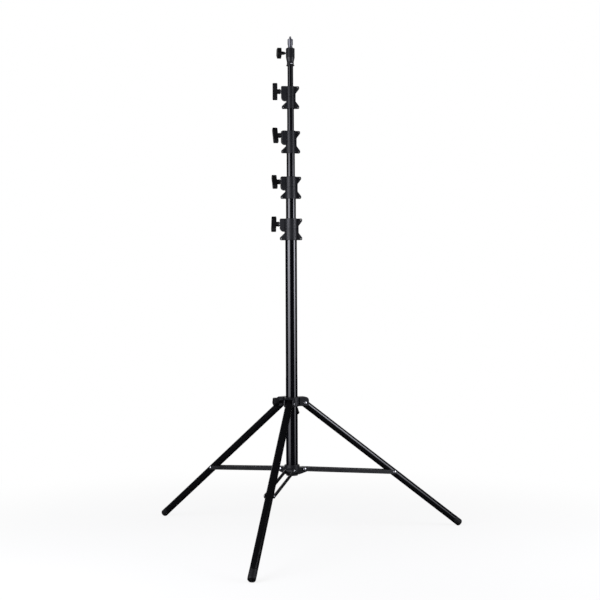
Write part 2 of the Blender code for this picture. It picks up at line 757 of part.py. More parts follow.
def make_spigot(parent):
    """The reversible spigot, with a camera stud on top and a larger stud inside the socket."""
    body_low = -SOCKET_SPIGOT_DEPTH + SEAT_GAP
    profile = [
        (0.0, SPIGOT_ABOVE_SOCKET + STUD_LENGTH),
        (STUD_RADIUS, SPIGOT_ABOVE_SOCKET + STUD_LENGTH),
        (STUD_RADIUS, SPIGOT_ABOVE_SOCKET),
        (SPIGOT_RADIUS - SPIGOT_EDGE, SPIGOT_ABOVE_SOCKET),
        (SPIGOT_RADIUS, SPIGOT_ABOVE_SOCKET - SPIGOT_EDGE),
        (SPIGOT_RADIUS, SPIGOT_GROOVE_HIGH),
        (SPIGOT_GROOVE_RADIUS, SPIGOT_GROOVE_HIGH - SPIGOT_GROOVE_SLOPE),
        (SPIGOT_GROOVE_RADIUS, SPIGOT_GROOVE_LOW + SPIGOT_GROOVE_SLOPE),
        (SPIGOT_RADIUS, SPIGOT_GROOVE_LOW),
        (SPIGOT_RADIUS, body_low),
        (LOWER_STUD_RADIUS, body_low),
        (LOWER_STUD_RADIUS, body_low - LOWER_STUD_LENGTH),
        (0.0, body_low - LOWER_STUD_LENGTH),
    ]
    spigot = as_piece(turned(profile, KNOB_SIDES), "top_spigot", CHROME)
    return place(spigot, parent)


def make_column():
    """All tubes, collars, clamps and the head, each riser's pieces under that riser's empty."""
    base = frame_empty("base_frame", None, COLUMN_PLACE)
    base_top = BASE_TUBE_FOOT + BASE_TUBE_LENGTH
    make_tube("base_tube", 0, BASE_TUBE_LENGTH, base, base_top)
    make_base_plug(base)
    make_collar(0, "base_collar", base)
    make_clamp(0, "base", base)

    parent = base
    for level in (1, 2, 3, 4):
        riser = frame_empty(f"riser_{level}_slide", parent)
        seat = COLLAR_SEAT_DEPTH if level < 4 else SOCKET_TUBE_DEPTH
        top = COLUMN_FEET[level] + seat - SEAT_GAP
        length = riser_length(level)
        tube = make_tube(f"riser_{level}_tube", level, length, riser, top)
        make_riser_plug(level, riser, top - length)
        if level < 4:
            make_collar(level, f"riser_{level}_collar", riser)
            make_clamp(level, f"riser_{level}", riser)
        parent = riser

    cut(tube, make_socket(parent))
    pin_turn = (0.0, math.pi / 2, math.radians(CROSS_PIN_AZIMUTH))
    pin_half = SOCKET_NECK_RADIUS + SEAT_GAP
    pin = as_piece(rod(CROSS_PIN_RADIUS, -pin_half, pin_half), "socket_cross_pin", STEEL)
    place(pin, parent, (0.0, 0.0, COLUMN_FEET[4] + CROSS_PIN_HEIGHT), pin_turn)

    spigot_frame = frame_empty("spigot_lift", parent, (0.0, 0.0, COLUMN_FEET[4] + SOCKET_LENGTH))
    make_spigot(spigot_frame)
    knob_turn = (0.0, math.pi / 2, math.radians(SOCKET_KNOB_AZIMUTH))
    knob_place = (0.0, 0.0, COLUMN_FEET[4] + SOCKET_KNOB_HEIGHT)
    turning = frame_empty("socket_knob_turn", parent, knob_place, knob_turn)
    make_socket_screw(turning)
    make_lobed_knob(
        "socket_knob",
        turning,
        SOCKET_SCREW_REACH,
        SOCKET_KNOB_HUB,
        SOCKET_KNOB_RADIUS,
        SOCKET_KNOB_THICKNESS,
        SOCKET_SCREW_RADIUS,
    )
    return base


def make_socket_screw(turning):
    """The thin screw that bears on the spigot, bare between the socket and its knob."""
    screw = rod(SOCKET_SCREW_RADIUS, SPIGOT_RADIUS + SEAT_GAP, SOCKET_SCREW_REACH + SCREW_IN_KNOB)
    return place(as_piece(screw, "socket_screw", STEEL), turning)


# Tripod


def add_clevis(spider, label, azimuth, parent):
    """One inverted-U lug of the spider, with its rivet hole."""
    top = SPIDER_ABOVE_PIVOT
    low = -SPIDER_BELOW_PIVOT
    turn = math.radians(azimuth)
    inner = HUB_BORE + SPIDER_HUB_WALL / 2
    outline = rounded_outline(
        [
            (inner, low, 0.0),
            (CLEVIS_REACH, low, CLEVIS_LOW_CORNER),
            (CLEVIS_REACH, top, CLEVIS_TOP_CORNER),
            (inner, top, 0.0),
        ]
    )
    lug = as_tool(plate([outline], 2 * CLEVIS_OUTER_FACE), f"spider_lug_{label}")
    join(spider, place(lug, parent, (0.0, 0.0, 0.0), (math.pi / 2, 0.0, turn)))
    slot = box(
        (HUB_RADIUS + RUNNING_GAP, -CLEVIS_INNER_FACE, 2 * low),
        (2 * CLEVIS_REACH, CLEVIS_INNER_FACE, top - CLEVIS_ROOF),
    )
    cut(spider, place(as_tool(slot, f"spider_slot_{label}"), parent, rotation=(0.0, 0.0, turn)))
    hole = as_tool(rod(HOLE_RADIUS, -CLEVIS_REACH, CLEVIS_REACH), f"spider_hole_{label}")
    place(hole, parent, polar(SPIDER_PIVOT_RADIUS, azimuth), (math.pi / 2, 0.0, turn))
    cut(spider, hole)


def make_spider(base):
    """The sliding spider: a hub, three clevises and a boss for the lock screw behind."""
    slide = frame_empty("spider_slide", base, (0.0, 0.0, FOLD["pivot_height"]))
    profile = [
        (0.0, SPIDER_ABOVE_PIVOT),
        (HUB_RADIUS, SPIDER_ABOVE_PIVOT),
        (HUB_RADIUS, -SPIDER_BELOW_PIVOT),
        (0.0, -SPIDER_BELOW_PIVOT),
    ]
    spider = place(as_piece(turned(profile), "leg_spider", CHARCOAL), slide)
    for label, azimuth in LEG_AZIMUTHS.items():
        add_clevis(spider, label, azimuth, slide)

    turn = math.radians(LOCK_AZIMUTH)
    half_width = LOCK_BOSS_WIDTH / 2
    boss_low = -LOCK_BELOW_PIVOT - LOCK_BOSS_BELOW_AXIS
    outline = [
        (HUB_BORE - SPIDER_HUB_WALL, boss_low),
        (LOCK_BOSS_REACH, boss_low),
        (LOCK_BOSS_REACH, boss_low + 2 * LOCK_BOSS_BELOW_AXIS),
        (HUB_RADIUS, SPIDER_ABOVE_PIVOT / 2),
        (HUB_BORE - SPIDER_HUB_WALL, SPIDER_ABOVE_PIVOT / 2),
    ]
    boss = as_tool(plate([outline], 2 * half_width), "spider_lock_boss")
    join(spider, place(boss, slide, (0.0, 0.0, 0.0), (math.pi / 2, 0.0, turn)))
    bore = rod(HUB_BORE, 2 * boss_low, 2 * SPIDER_ABOVE_PIVOT, TUBE_SIDES)
    cut(spider, place(as_tool(bore, "spider_bore"), slide))
    screw_bore = as_tool(rod(SCREW_RADIUS + SEAT_GAP, 0.0, 2 * LOCK_BOSS_REACH), "lock_screw_bore")
    lock_place = (0.0, 0.0, -LOCK_BELOW_PIVOT)
    place(screw_bore, slide, lock_place, (0.0, math.pi / 2, turn))
    cut(spider, screw_bore)

    turning = frame_empty("spider_knob_turn", slide, lock_place, (0.0, math.pi / 2, turn))
    make_clamp_screw("spider_lock_screw", turning, tube_radius(0) + SEAT_GAP, LOCK_BOSS_REACH)
    make_lobed_knob(
        "spider_lock_knob",
        turning,
        knob_seat(LOCK_BOSS_REACH),
        SPIDER_KNOB_HUB,
        SPIDER_KNOB_RADIUS,
        SPIDER_KNOB_THICKNESS,
        SCREW_RADIUS,
    )
    return slide


def rivet_profile(half_length):
    """Half of a two-headed rivet's profile, from the crown of its upper head to its middle."""
    head = half_length + SEAT_GAP
    return [
        (0.0, head + RIVET_HEAD_HEIGHT),
        (RIVET_HEAD_CROWN, head + RIVET_HEAD_HEIGHT),
        (RIVET_HEAD_RADIUS, head + RIVET_HEAD_RIM),
        (RIVET_HEAD_RADIUS, head),
        (RIVET_RADIUS, head),
    ]


def make_rivet(name, parent, half_length, location=(0.0, 0.0, 0.0)):
    """A rivet on local Y, headed just outside the two faces at half_length."""
    upper = rivet_profile(half_length)
    lower = [(radius, -height) for radius, height in reversed(upper)]
    rivet = as_piece(turned(upper + lower, SMALL_SIDES), name, STEEL)
    return place(rivet, parent, location, ALONG_HINGE)


def make_rivet_cap(name, parent, side, location):
    """One end of a brace-to-leg rivet, which stops at the inner face of its own brace strip."""
    profile = rivet_profile(BRACE_OUTER_FACE) + [
        (RIVET_RADIUS, BRACE_INNER_FACE),
        (0.0, BRACE_INNER_FACE),
    ]
    cap = as_piece(turned(profile, SMALL_SIDES), name, STEEL)
    return place(cap, parent, location, (-side * math.pi / 2, 0.0, 0.0))


def make_leg(label, azimuth, slide):
    """One leg: its tube runs along local X from the pivot to the rubber tip on the floor."""
    below_level = math.pi / 2 - math.radians(LEG_TILT)
    hinge = frame_empty(
        f"leg_{label}_hinge",
        slide,
        polar(SPIDER_PIVOT_RADIUS, azimuth),
        (0.0, below_level, math.radians(azimuth)),
    )
    outer = LEG_DIAMETER / 2
    inner = outer - LEG_WALL
    tube_end = LEG_LENGTH - FOOT_TIP_LENGTH - SEAT_GAP
    profile = [
        (outer, tube_end),
        (outer, -LEG_BEYOND_PIVOT),
        (inner, -LEG_BEYOND_PIVOT),
        (inner, tube_end),
    ]
    tube = as_piece(turned(profile), f"leg_{label}_tube", SATIN_BLACK)
    place(tube, hinge, (0.0, 0.0, 0.0), OUTWARD)
    hole = as_tool(rod(HOLE_RADIUS, -LEG_DIAMETER, LEG_DIAMETER), f"leg_{label}_hole")
    cut(tube, place(hole, hinge, rotation=EDGE_ON))

    stem = inner - SEAT_GAP
    edge = FOOT_TIP_EDGE
    quarter = [math.pi / 2 * step / CORNER_STEPS for step in range(CORNER_STEPS + 1)]
    rounded = [
        (FOOT_TIP_RADIUS - edge + edge * math.sin(turn), LEG_LENGTH - edge + edge * math.cos(turn))
        for turn in quarter
    ]
    shoulder = LEG_LENGTH - FOOT_TIP_LENGTH
    profile = [(0.0, LEG_LENGTH)] + rounded + [
        (FOOT_TIP_RADIUS, shoulder),
        (stem, shoulder),
        (stem, shoulder - FOOT_STEM_LENGTH),
        (0.0, shoulder - FOOT_STEM_LENGTH),
    ]
    tip = as_piece(turned(profile), f"leg_{label}_foot_tip", RUBBER_BLACK)
    place(tip, hinge, (0.0, 0.0, 0.0), OUTWARD)
    reach = 2 * LEG_LENGTH
    floor = as_tool(box((-reach, -reach, -reach), (reach, reach, 0.0)), f"leg_{label}_floor")
    cut(tip, place(floor, None))

    rivet_place = polar(SPIDER_PIVOT_RADIUS, azimuth)
    rivet_frame = frame_empty(
        f"leg_{label}_rivet_place", slide, rivet_place, (0.0, 0.0, math.radians(azimuth))
    )
    make_rivet(f"leg_{label}_pivot_rivet", rivet_frame, CLEVIS_OUTER_FACE)


def tongue_outline():
    """The brace tongue of the lower collar, about the pivot height, deeper at its root on the tube."""
    # The three tongues meet inside the tube's bore, which is cut after they are joined.
    inner = tube_radius(0) * 3 / 4
    end = BRACE_PIVOT_RADIUS + TONGUE_BEYOND_PIVOT
    return rounded_outline(
        [
            (inner, TONGUE_ABOVE_PIVOT, 0.0),
            (inner, -TONGUE_ROOT_DROP, 0.0),
            (TONGUE_ROOT_REACH, -TONGUE_ROOT_DROP, 0.0),
            (end, -TONGUE_BELOW_PIVOT, TONGUE_CORNER),
            (end, TONGUE_ABOVE_PIVOT, TONGUE_CORNER),
        ]
    )


def make_lower_collar(base):
    """The fixed collar near the base tube's foot, with a tongue for each pair of braces."""
    frame = frame_empty("lower_collar_frame", base, (0.0, 0.0, FOLD["lower_height"]))
    bore = tube_radius(0) + SEAT_GAP
    profile = [
        (0.0, LOWER_ABOVE_PIVOT),
        (LOWER_RING_RADIUS, LOWER_ABOVE_PIVOT),
        (LOWER_RING_RADIUS, -LOWER_RING_BELOW_PIVOT),
        (0.0, -LOWER_RING_BELOW_PIVOT),
    ]
    collar = place(as_piece(turned(profile), "lower_collar", CHARCOAL), frame)
    width = 2 * (BRACE_INNER_FACE - TONGUE_SIDE_GAP)
    for label, azimuth in LEG_AZIMUTHS.items():
        turn = (math.pi / 2, 0.0, math.radians(azimuth))
        tongue = as_tool(plate([tongue_outline()], width), f"tongue_{label}")
        join(collar, place(tongue, frame, (0.0, 0.0, 0.0), turn))
    reach = TONGUE_ROOT_DROP + LOWER_ABOVE_PIVOT
    clear = as_tool(rod(bore, -reach, reach, TUBE_SIDES), "lower_bore")
    cut(collar, place(clear, frame))
    for label, azimuth in LEG_AZIMUTHS.items():
        turn = math.radians(azimuth)
        hole = as_tool(rod(HOLE_RADIUS, -width, width), f"tongue_hole_{label}")
        place(hole, frame, polar(BRACE_PIVOT_RADIUS, azimuth), (math.pi / 2, 0.0, turn))
        cut(collar, hole)
    return frame


def make_brace(label, azimuth, frame):
    """One brace: two flat strips that straddle the tongue and the leg, from pivot to joint."""
    pivot = polar(BRACE_PIVOT_RADIUS, azimuth)
    rivet_frame = frame_empty(
        f"brace_{label}_rivet_place", frame, pivot, (0.0, 0.0, math.radians(azimuth))
    )
    make_rivet(f"brace_{label}_pivot_rivet", rivet_frame, BRACE_OUTER_FACE)
    hinge = frame_empty(
        f"brace_{label}_hinge", frame, pivot, (0.0, FOLD["brace_slope"], math.radians(azimuth))
    )
    length = FOLD["brace_length"]
    half = BRACE_HEIGHT / 2
    outline = rounded_outline(
        [
            (-half, -half, BRACE_CORNER),
            (length + half, -half, BRACE_CORNER),
            (length + half, half, BRACE_CORNER),
            (-half, half, BRACE_CORNER),
        ]
    )
    holes = [circle_outline(0.0, 0.0, HOLE_RADIUS), circle_outline(length, 0.0, HOLE_RADIUS)]
    middle = (BRACE_INNER_FACE + BRACE_OUTER_FACE) / 2
    for word, side in (("near", 1), ("far", -1)):
        strip = as_piece(
            plate([outline] + holes, BRACE_THICKNESS), f"brace_{label}_{word}_strip", CHARCOAL
        )
        place(strip, hinge, (0.0, side * middle, 0.0), EDGE_ON)
        make_rivet_cap(f"brace_{label}_{word}_rivet_cap", hinge, side, (length, 0.0, 0.0))


def make_tripod(base):
    slide = make_spider(base)
    frame = make_lower_collar(base)
    for label, azimuth in LEG_AZIMUTHS.items():
        make_leg(label, azimuth, slide)
        make_brace(label, azimuth, frame)


make_tripod(make_column())
for piece in PARTS.objects:
    if piece.type == "MESH" and "Screw" not in piece.modifiers:
        piece.data.shade_smooth()
        piece.data.set_sharp_from_angle(angle=math.radians(35))
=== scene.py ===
"""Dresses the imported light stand: smooth painted tubes, satin castings, moulded knobs and bright steel.

Laid out as a Blender add-on and run as a script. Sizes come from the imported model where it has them.
"""

import json
import math

import bmesh
import bpy
from bpy.props import FloatProperty, FloatVectorProperty, IntProperty, PointerProperty
from mathutils import Matrix, Vector


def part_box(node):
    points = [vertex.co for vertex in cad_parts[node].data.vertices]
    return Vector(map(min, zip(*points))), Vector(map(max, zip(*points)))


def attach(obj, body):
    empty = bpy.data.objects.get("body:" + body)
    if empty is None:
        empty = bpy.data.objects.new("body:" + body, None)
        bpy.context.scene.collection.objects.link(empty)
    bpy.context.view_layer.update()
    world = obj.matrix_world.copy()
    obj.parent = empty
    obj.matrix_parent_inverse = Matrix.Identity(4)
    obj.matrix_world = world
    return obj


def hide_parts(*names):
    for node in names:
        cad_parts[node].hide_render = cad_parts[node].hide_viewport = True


bl_info = {
    "name": "Light Stand Builder",
    "version": (1, 0, 0),
    "blender": (4, 5, 0),
    "location": "3D View > Sidebar > Light Stand",
    "description": "Builds the finished pieces of a folding light stand around its packed model",
    "category": "Add Mesh",
}

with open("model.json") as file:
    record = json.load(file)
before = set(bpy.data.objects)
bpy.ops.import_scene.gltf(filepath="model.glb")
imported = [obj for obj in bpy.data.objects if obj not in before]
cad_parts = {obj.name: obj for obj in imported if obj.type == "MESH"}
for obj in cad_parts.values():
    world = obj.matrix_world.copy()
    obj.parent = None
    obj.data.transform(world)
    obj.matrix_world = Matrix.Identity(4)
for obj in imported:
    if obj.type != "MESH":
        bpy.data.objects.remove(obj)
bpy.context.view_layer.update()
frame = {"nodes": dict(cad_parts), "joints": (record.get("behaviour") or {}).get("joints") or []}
JOINTS = {joint["name"]: joint for joint in frame["joints"]}

UP = Vector((0.0, 0.0, 1.0))
SIDEWAYS = Vector((1.0, 0.0, 0.0))
UPRIGHT = Matrix.Rotation(math.pi / 2, 4, "X")
TUBES = ("base_tube", "riser_1_tube", "riser_2_tube", "riser_3_tube", "riser_4_tube")
CLAMPS = ("base", "riser_1", "riser_2", "riser_3")
LEGS = ("front", "right", "left")
MM = 0.001
# Height of each clamp collar's screw housing, and its reach beyond the sleeve, in millimetres
HOUSINGS = {"base": (38.8, 13.5), "riser_1": (40.8, 13.5), "riser_2": (41.5, 13.5), "riser_3": (43.3, 15.5)}
# Gaps, holes and rivets that more than one piece shares, as radii where they are round
SEAT_GAP = 0.3 * MM
SLIDE_GAP = 0.4 * MM
SCREW_HOLE = 4.3 * MM
SMALL_SCREW_HOLE = 3.3 * MM
RIVET_HOLE = 3.3 * MM
RIVET_SHANK = 3.0 * MM
RIVET_HEAD = 4.8 * MM
RIVET_CROWN = 1.8 * MM
# Half the width of the spider's clevises, which the leg rivets span
SPIDER_HALF = 14.4 * MM
SMOOTH_ANGLE = math.radians(38)
WHITE = (1.0, 1.0, 1.0, 1.0)


# Settings


class StandSizes(bpy.types.PropertyGroup):
    """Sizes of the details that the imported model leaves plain."""

    tube_sides: IntProperty(name="Tube sides", description="Facets round a tube", default=96, min=12)
    tube_rim: FloatProperty(
        name="Tube rim", description="Rounding of a tube's cut ends", default=0.35 * MM, unit="LENGTH"
    )
    casting_edge: FloatProperty(
        name="Casting edge",
        description="Rounding of the edges of the cast pieces",
        default=0.9 * MM,
        unit="LENGTH",
    )
    sleeve_wall: FloatProperty(
        name="Sleeve wall",
        description="Wall of a clamp collar round the tube that it sits on",
        default=2.2 * MM,
        unit="LENGTH",
    )
    housing_width: FloatProperty(
        name="Housing width",
        description="Width of the housing that holds a clamp screw",
        default=19.0 * MM,
        unit="LENGTH",
    )
    ear_thickness: FloatProperty(
        name="Ear thickness",
        description="Thickness of a collar's triangular ears",
        default=7.0 * MM,
        unit="LENGTH",
    )
    knob_edge: FloatProperty(
        name="Knob edge", description="Rounding of the moulded knobs", default=2.2 * MM, unit="LENGTH"
    )
    thread_pitch: FloatProperty(
        name="Thread pitch",
        description="Distance between the crests of the bare threads",
        default=1.0 * MM,
        unit="LENGTH",
    )


class StandColours(bpy.types.PropertyGroup):
    """Colours of the finishes."""

    tube: FloatVectorProperty(
        name="Tube paint",
        description="Gloss paint on the column tubes",
        default=(0.0018, 0.0019, 0.0026),
        subtype="COLOR",
    )
    leg: FloatVectorProperty(
        name="Leg paint",
        description="Satin paint on the legs",
        default=(0.0030, 0.0030, 0.0034),
        subtype="COLOR",
    )
    casting: FloatVectorProperty(
        name="Casting paint",
        description="Charcoal paint on collars, spider and socket",
        default=(0.0068, 0.0072, 0.0088),
        subtype="COLOR",
    )
    brace: FloatVectorProperty(
        name="Brace paint",
        description="Charcoal paint on the flat braces",
        default=(0.0090, 0.0090, 0.0098),
        subtype="COLOR",
    )
    knob: FloatVectorProperty(
        name="Knob plastic",
        description="Matte moulded plastic of the knobs",
        default=(0.0036, 0.0036, 0.0040),
        subtype="COLOR",
    )
    rubber: FloatVectorProperty(
        name="Foot rubber",
        description="Rubber of the foot tips",
        default=(0.0035, 0.0035, 0.0038),
        subtype="COLOR",
    )
    nylon: FloatVectorProperty(
        name="Nylon",
        description="Plugs and brake shoes inside the column",
        default=(0.1200, 0.1200, 0.1150),
        subtype="COLOR",
    )
    steel: FloatVectorProperty(
        name="Steel",
        description="Rivets, screws and pins",
        default=(0.5600, 0.5600, 0.5700),
        subtype="COLOR",
    )
    chrome: FloatVectorProperty(
        name="Spigot plating",
        description="Bright plating of the top spigot",
        default=(0.3400, 0.3400, 0.3700),
        subtype="COLOR",
    )
    dust: FloatVectorProperty(
        name="Dust",
        description="Fine dust that dulls the paint a little",
        default=(0.0450, 0.0450, 0.0450),
        subtype="COLOR",
    )


class StudioSettings(bpy.types.PropertyGroup):
    """Camera and lights."""

    camera_distance: FloatProperty(
        name="Camera distance",
        description="Level distance from the column to the camera",
        default=3.55,
        unit="LENGTH",
    )
    camera_height: FloatProperty(
        name="Camera height",
        description="Height of the camera above the floor",
        default=0.737,
        unit="LENGTH",
    )
    camera_azimuth: FloatProperty(
        name="Camera azimuth",
        description="How far the camera stands to the right of the front leg's direction",
        default=math.radians(10.77),
        subtype="ANGLE",
    )
    camera_roll: FloatProperty(
        name="Camera roll",
        description="Lean of the camera about its line of sight",
        default=math.radians(0.246),
        subtype="ANGLE",
    )
    lens: FloatProperty(
        name="Lens", description="Focal length on a 36 mm sensor, in millimetres", default=71.82
    )
    column_x: FloatProperty(
        name="Column place",
        description="Where the column stands across the picture, in pixels of 600",
        default=291.28,
    )
    horizon_y: FloatProperty(
        name="Horizon",
        description="Height of the horizon in the picture, in pixels from its top of 600",
        default=289.4,
    )
    fill: FloatProperty(name="Fill", description="Strength of the even light from all round", default=0.35)
    lamp_distance: FloatProperty(
        name="Lamp distance",
        description="Level distance from the column to the two softboxes",
        default=1.5,
        unit="LENGTH",
    )
    lamp_top: FloatProperty(
        name="Lamp top",
        description="Height of the softboxes' upper edge above the floor",
        default=1.80,
        unit="LENGTH",
    )
    left_light: FloatProperty(
        name="Left softbox", description="Radiance of the softbox on the camera's left", default=9.2
    )
    right_light: FloatProperty(
        name="Right softbox", description="Radiance of the softbox on the camera's right", default=12.0
    )


class StandSettings(bpy.types.PropertyGroup):
    """Everything that a user can change."""

    sizes: PointerProperty(type=StandSizes)
    colours: PointerProperty(type=StandColours)
    studio: PointerProperty(type=StudioSettings)


def settings():
    return bpy.context.scene.light_stand


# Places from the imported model


def points_of(node):
    return [vertex.co for vertex in frame["nodes"][node].data.vertices]


def middle_of(*nodes):
    points = [point for node in nodes for point in points_of(node)]
    return sum(points, Vector()) / len(points)


def tube_size(node):
    """A column tube's axis point at its lower end, its length and its outer radius."""
    low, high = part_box(node)
    foot = Vector(((low.x + high.x) / 2, (low.y + high.y) / 2, low.z))
    return foot, high.z - low.z, (high.x - low.x) / 2


def tube_radius(node):
    return tube_size(node)[2]


def column_point(height):
    foot = tube_size("base_tube")[0]
    return Vector((foot.x, foot.y, height))


def joint_place(name):
    joint = JOINTS[name]
    return Vector(joint["pos_m"]), Vector(joint["axis"]).normalized()


def axes_at(origin, z_axis, x_hint):
    """A frame at origin whose Z is z_axis and whose X leans towards x_hint."""
    z = z_axis.normalized()
    y = z.cross(x_hint).normalized()
    x = y.cross(z)
    return Matrix.Translation(origin) @ Matrix((x, y, z)).transposed().to_4x4()


def span_along(node, origin, axis):
    """How far a node reaches along an axis from origin, lowest and highest."""
    reach = [(point - origin).dot(axis) for point in points_of(node)]
    return min(reach), max(reach)


def bar_turn(node, place):
    """The turn about the frame's Z of a node that is long in one direction."""
    inverse = place.inverted()
    flat = [(inverse @ point).to_2d() for point in points_of(node)]
    centre = sum(flat, Vector((0.0, 0.0))) / len(flat)
    uu = sum((p.x - centre.x) ** 2 for p in flat)
    vv = sum((p.y - centre.y) ** 2 for p in flat)
    uv = sum((p.x - centre.x) * (p.y - centre.y) for p in flat)
    return math.atan2(2 * uv, uu - vv) / 2


# Shapes


def arc_corner(before, corner, after, radius, steps):
    """Points that round one corner of a flat outline."""
    point = Vector(corner)
    inward = (Vector(before) - point).normalized()
    outward = (Vector(after) - point).normalized()
    half = inward.angle(outward) / 2
    centre = point + (inward + outward).normalized() * (radius / math.sin(half))
    start = point + inward * (radius / math.tan(half)) - centre
    end = point + outward * (radius / math.tan(half)) - centre
    sweep = start.angle_signed(end)
    points = []
    for step in range(steps + 1):
        turn = Matrix.Rotation(-sweep * step / steps, 2)
        points.append(tuple(centre + turn @ start))
    return points


def rounded(corners, steps):
    """An outline from corners given as (x, y) or (x, y, radius)."""
    points = []
    for index, corner in enumerate(corners):
        if len(corner) == 2:
            points.append(corner)
            continue
        before = corners[index - 1][:2]
        after = corners[(index + 1) % len(corners)][:2]
        points.extend(arc_corner(before, corner[:2], after, corner[2], steps))
    return points


def turned(profile, steps):
    """Spins an (outward, along) profile about Z. A profile that starts off the axis is a closed ring."""
    shape = bmesh.new()
    points = [shape.verts.new((radius, 0.0, along)) for radius, along in profile]
    edges = [shape.edges.new(pair) for pair in zip(points, points[1:])]
    if profile[0][0] > 0.0:
        edges.append(shape.edges.new((points[-1], points[0])))
    bmesh.ops.spin(
        shape,
        geom=points + edges,
        cent=(0.0, 0.0, 0.0),
        axis=UP,
        dvec=(0.0, 0.0, 0.0),
        angle=2 * math.pi,
        steps=steps,
        use_merge=True,
        use_normal_flip=False,
        use_duplicate=False,
    )
    bmesh.ops.remove_doubles(shape, verts=shape.verts, dist=0.002 * MM)
    bmesh.ops.recalc_face_normals(shape, faces=shape.faces)
    return shape


def slab(outline, thickness, edge=0.0, segments=3):
    """Extrudes a flat outline in XY, centred on it, and rounds its rims."""
    shape = bmesh.new()
    points = [shape.verts.new((x, y, -thickness / 2)) for x, y in outline]
    face = shape.faces.new(points)
    grown = bmesh.ops.extrude_face_region(shape, geom=[face])
    top = [item for item in grown["geom"] if isinstance(item, bmesh.types.BMVert)]
    bmesh.ops.translate(shape, verts=top, vec=(0.0, 0.0, thickness))
    bmesh.ops.recalc_face_normals(shape, faces=shape.faces)
    if edge > 0.0:
        round_rims(shape, edge, segments)
    return shape


def round_rims(shape, edge, segments):
    """Bevels every edge whose two faces meet sharply."""
    shape.normal_update()
    sharp = [e for e in shape.edges if e.is_manifold and e.calc_face_angle() > math.radians(50)]
    bmesh.ops.bevel(
        shape,
        geom=sharp,
        offset=edge,
        offset_type="OFFSET",
        affect="EDGES",
        segments=segments,
        profile=0.5,
        material=-1,
        clamp_overlap=True,
    )
    bmesh.ops.recalc_face_normals(shape, faces=shape.faces)


def lathe(corners, corner_steps, steps):
    """Rounds the corners of a profile, then spins it about Z."""
    return turned(rounded(corners, corner_steps), steps)


def rod(radius, low, high, steps=32):
    return turned([(0.0, low), (radius, low), (radius, high), (0.0, high)], steps)


def block(low, high):
    shape = bmesh.new()
    bmesh.ops.create_cube(shape, size=1.0)
    low = Vector(low)
    high = Vector(high)
    bmesh.ops.scale(shape, verts=shape.verts, vec=high - low)
    bmesh.ops.translate(shape, verts=shape.verts, vec=(low + high) / 2)
    return shape


def moved(shape, matrix):
    bmesh.ops.transform(shape, matrix=matrix, verts=shape.verts)
    return shape


def shifted(shape, x, y, z):
    return moved(shape, Matrix.Translation((x, y, z)))


def mesh_from(shape, name):
    mesh = bpy.data.meshes.new(name)
    shape.to_mesh(mesh)
    shape.free()
    return mesh


def shown(data, name):
    piece = bpy.data.objects.new(name, data)
    bpy.context.scene.collection.objects.link(piece)
    return piece


def carved(shape, name, joined=(), cutters=()):
    """Joins shapes to a body, then cuts others out of it, and gives the result as one mesh."""
    body = shown(mesh_from(shape, name), name)
    helpers = []
    for operation, group in (("UNION", joined), ("DIFFERENCE", cutters)):
        for index, tool in enumerate(group):
            label = f"{name}_{operation.lower()}_{index}"
            helper = shown(mesh_from(tool, label), label)
            helpers.append(helper)
            modifier = body.modifiers.new(label, "BOOLEAN")
            modifier.operation = operation
            modifier.solver = "EXACT"
            modifier.object = helper
    graph = bpy.context.evaluated_depsgraph_get()
    mesh = bpy.data.meshes.new_from_object(body.evaluated_get(graph))
    for helper in [body] + helpers:
        old = helper.data
        bpy.data.objects.remove(helper)
        bpy.data.meshes.remove(old)
    mesh.name = name
    return mesh


def add_piece(mesh, name, body, slot, nodes, place=None):
    """Shows a finished mesh in place of CAD nodes, riding on their body."""
    if place is not None:
        mesh.transform(place)
    mesh.shade_smooth()
    mesh.set_sharp_from_angle(angle=SMOOTH_ANGLE)
    mesh.name = name
    mesh.materials.clear()
    mesh.materials.append(finish_for(slot))
    piece = shown(mesh, name)
    flats = piece.modifiers.new("flat_faces", "WEIGHTED_NORMAL")
    flats.keep_sharp = True
    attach(piece, body)
    if nodes:
        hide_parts(*nodes)
    return piece


def ring_thread(radius, depth, pitch, low, high):
    """The outer profile of a thread as ridges, from low to high."""
    points = []
    turns = max(1, int((high - low) / pitch))
    step = (high - low) / turns
    for turn in range(turns):
        base = low + turn * step
        points.append((radius - depth, base + 0.10 * step))
        points.append((radius, base + 0.42 * step))
        points.append((radius, base + 0.58 * step))
        points.append((radius - depth, base + 0.90 * step))
    return points


# Shared shader groups


def add_node(tree, kind, values=None, **attributes):
    node = tree.nodes.new(kind)
    for key, value in attributes.items():
        setattr(node, key, value)
    for key, value in (values or {}).items():
        node.inputs[key].default_value = value
    return node


def wire(tree, *links):
    """Links nodes. Each link is a node, its output, another node and that one's input."""
    for source, output, target, inlet in links:
        tree.links.new(source.outputs[output], target.inputs[inlet])


def new_group(name, inputs, outputs):
    """A shader group with named sockets. An input's default, or None for a vector, gives its kind."""
    group = bpy.data.node_groups.new(name, "ShaderNodeTree")
    for label, default in inputs:
        kind = {type(None): "Vector", float: "Float", tuple: "Color"}[type(default)]
        socket = group.interface.new_socket(name=label, in_out="INPUT", socket_type=f"NodeSocket{kind}")
        if default is not None:
            socket.default_value = default
    for label, kind in outputs:
        group.interface.new_socket(name=label, in_out="OUTPUT", socket_type=f"NodeSocket{kind}")
    return group, group.nodes.new("NodeGroupInput"), group.nodes.new("NodeGroupOutput")


